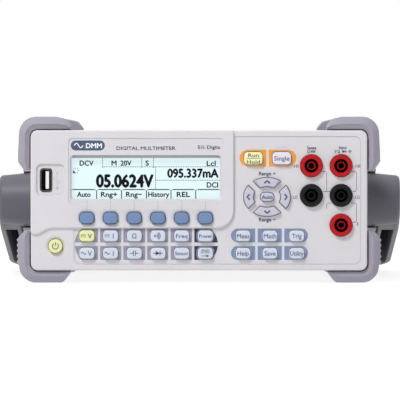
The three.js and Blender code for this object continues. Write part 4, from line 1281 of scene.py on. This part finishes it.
def rear_printing():
    """Plain names beside the rear connections: printed as on the front, then turned round."""
    flat = prints[(INSTRUMENT, "print_dark")]
    for text, x, z, width in REAR_WORDS:
        start = len(flat.verts)
        letters(text, x, z, 2.2, 0, "print_dark", width=width, bold=0.05)
        flat.verts[start:] = [(2 * x - a, REAR_Y + PRINT - b, c) for a, b, c in flat.verts[start:]]


def rear():
    power_inlet()
    rounded_copy("power_rocker", "rocker_cap", "black", "rocker", 0.5)
    fuse()
    coaxial_connectors()
    d_sockets()
    socket_housings()
    screws()
    rear_printing()


def finish_cad_nodes():
    for node, material in CARRIED.items():
        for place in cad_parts[node].material_slots:
            place.material = MAT[material]


# ---------------------------------------------------------------- stage, lights and camera
def aimed(name, data, position, target):
    """A camera or a light at a position, turned towards a target."""
    start, end = (Vector((x * MM, FRONT_Y + y * MM, z * MM)) for x, y, z in (position, target))
    obj = add_object(name, data)
    obj.location = start
    obj.rotation_euler = (end - start).to_track_quat("-Z", "Y").to_euler()
    return obj


def camera():
    data = bpy.data.cameras.new("camera")
    data.lens = LENS_MM
    data.sensor_width = 36
    data.clip_end = 100
    bpy.context.scene.camera = aimed("camera", data, CAMERA_AT, CAMERA_AIM)


def floor():
    """A pale floor that glows a little, so that it meets the white background without an edge."""
    mesh = bpy.data.meshes.new("floor")
    h = FLOOR_HALF * MM
    mesh.from_pydata([(-h, -h, 0), (h, -h, 0), (h, h, 0), (-h, h, 0)], [], [(0, 1, 2, 3)])
    mat = bpy.data.materials.new("floor")
    mat.use_nodes = True
    set_inputs(mat.node_tree.nodes["Principled BSDF"], Base_Color=(*[FLOOR_COLOR] * 3, 1),
               Roughness=0.8, Emission_Color=(1, 1, 1, 1), Emission_Strength=FLOOR_GLOW)
    mesh.materials.append(mat)
    add_object("floor", mesh)


def studio_world():
    """White behind the instrument, and dimmer before it, so that the lights shape its front."""
    world = bpy.data.worlds.new("studio")
    world.use_nodes = True
    tree, link = world.node_tree, world.node_tree.links.new
    coords = shader_node(tree, "TexCoord")
    split = shader_node(tree, "SeparateXYZ")
    fade = shader_node(tree, "MapRange", From_Min=-SKY_FADE, From_Max=SKY_FADE,
                       To_Min=SKY_BEFORE, To_Max=SKY_BEHIND)
    link(coords.outputs["Generated"], split.inputs["Vector"])
    link(split.outputs["Y"], fade.inputs["Value"])
    background = tree.nodes["Background"]
    set_inputs(background, Color=(1, 1, 1, 1))
    link(fade.outputs["Result"], background.inputs["Strength"])
    bpy.context.scene.world = world
    bpy.context.scene.view_settings.view_transform = "Standard"


def lights():
    studio_world()
    for name, position, size, power in LIGHTS:
        data = bpy.data.lights.new(name, "AREA")
        data.shape = "RECTANGLE"
        data.size, data.size_y = size[0] * MM, size[1] * MM
        data.energy = power
        aimed(name, data, position, LIGHT_AIM)


materials()
camera()
floor()
lights()
display_panel()
bezel_face()
keys()
volt_and_current_legends()
upper_row_legends()
lower_row_legends()
word_legends()
nav_and_power_legends()
tiles()
panel_printing()
screen()
jacks()
usb_socket()
bumpers()
handle()
pivots()
case()
rear()
lay_prints()
finish_cad_nodes()
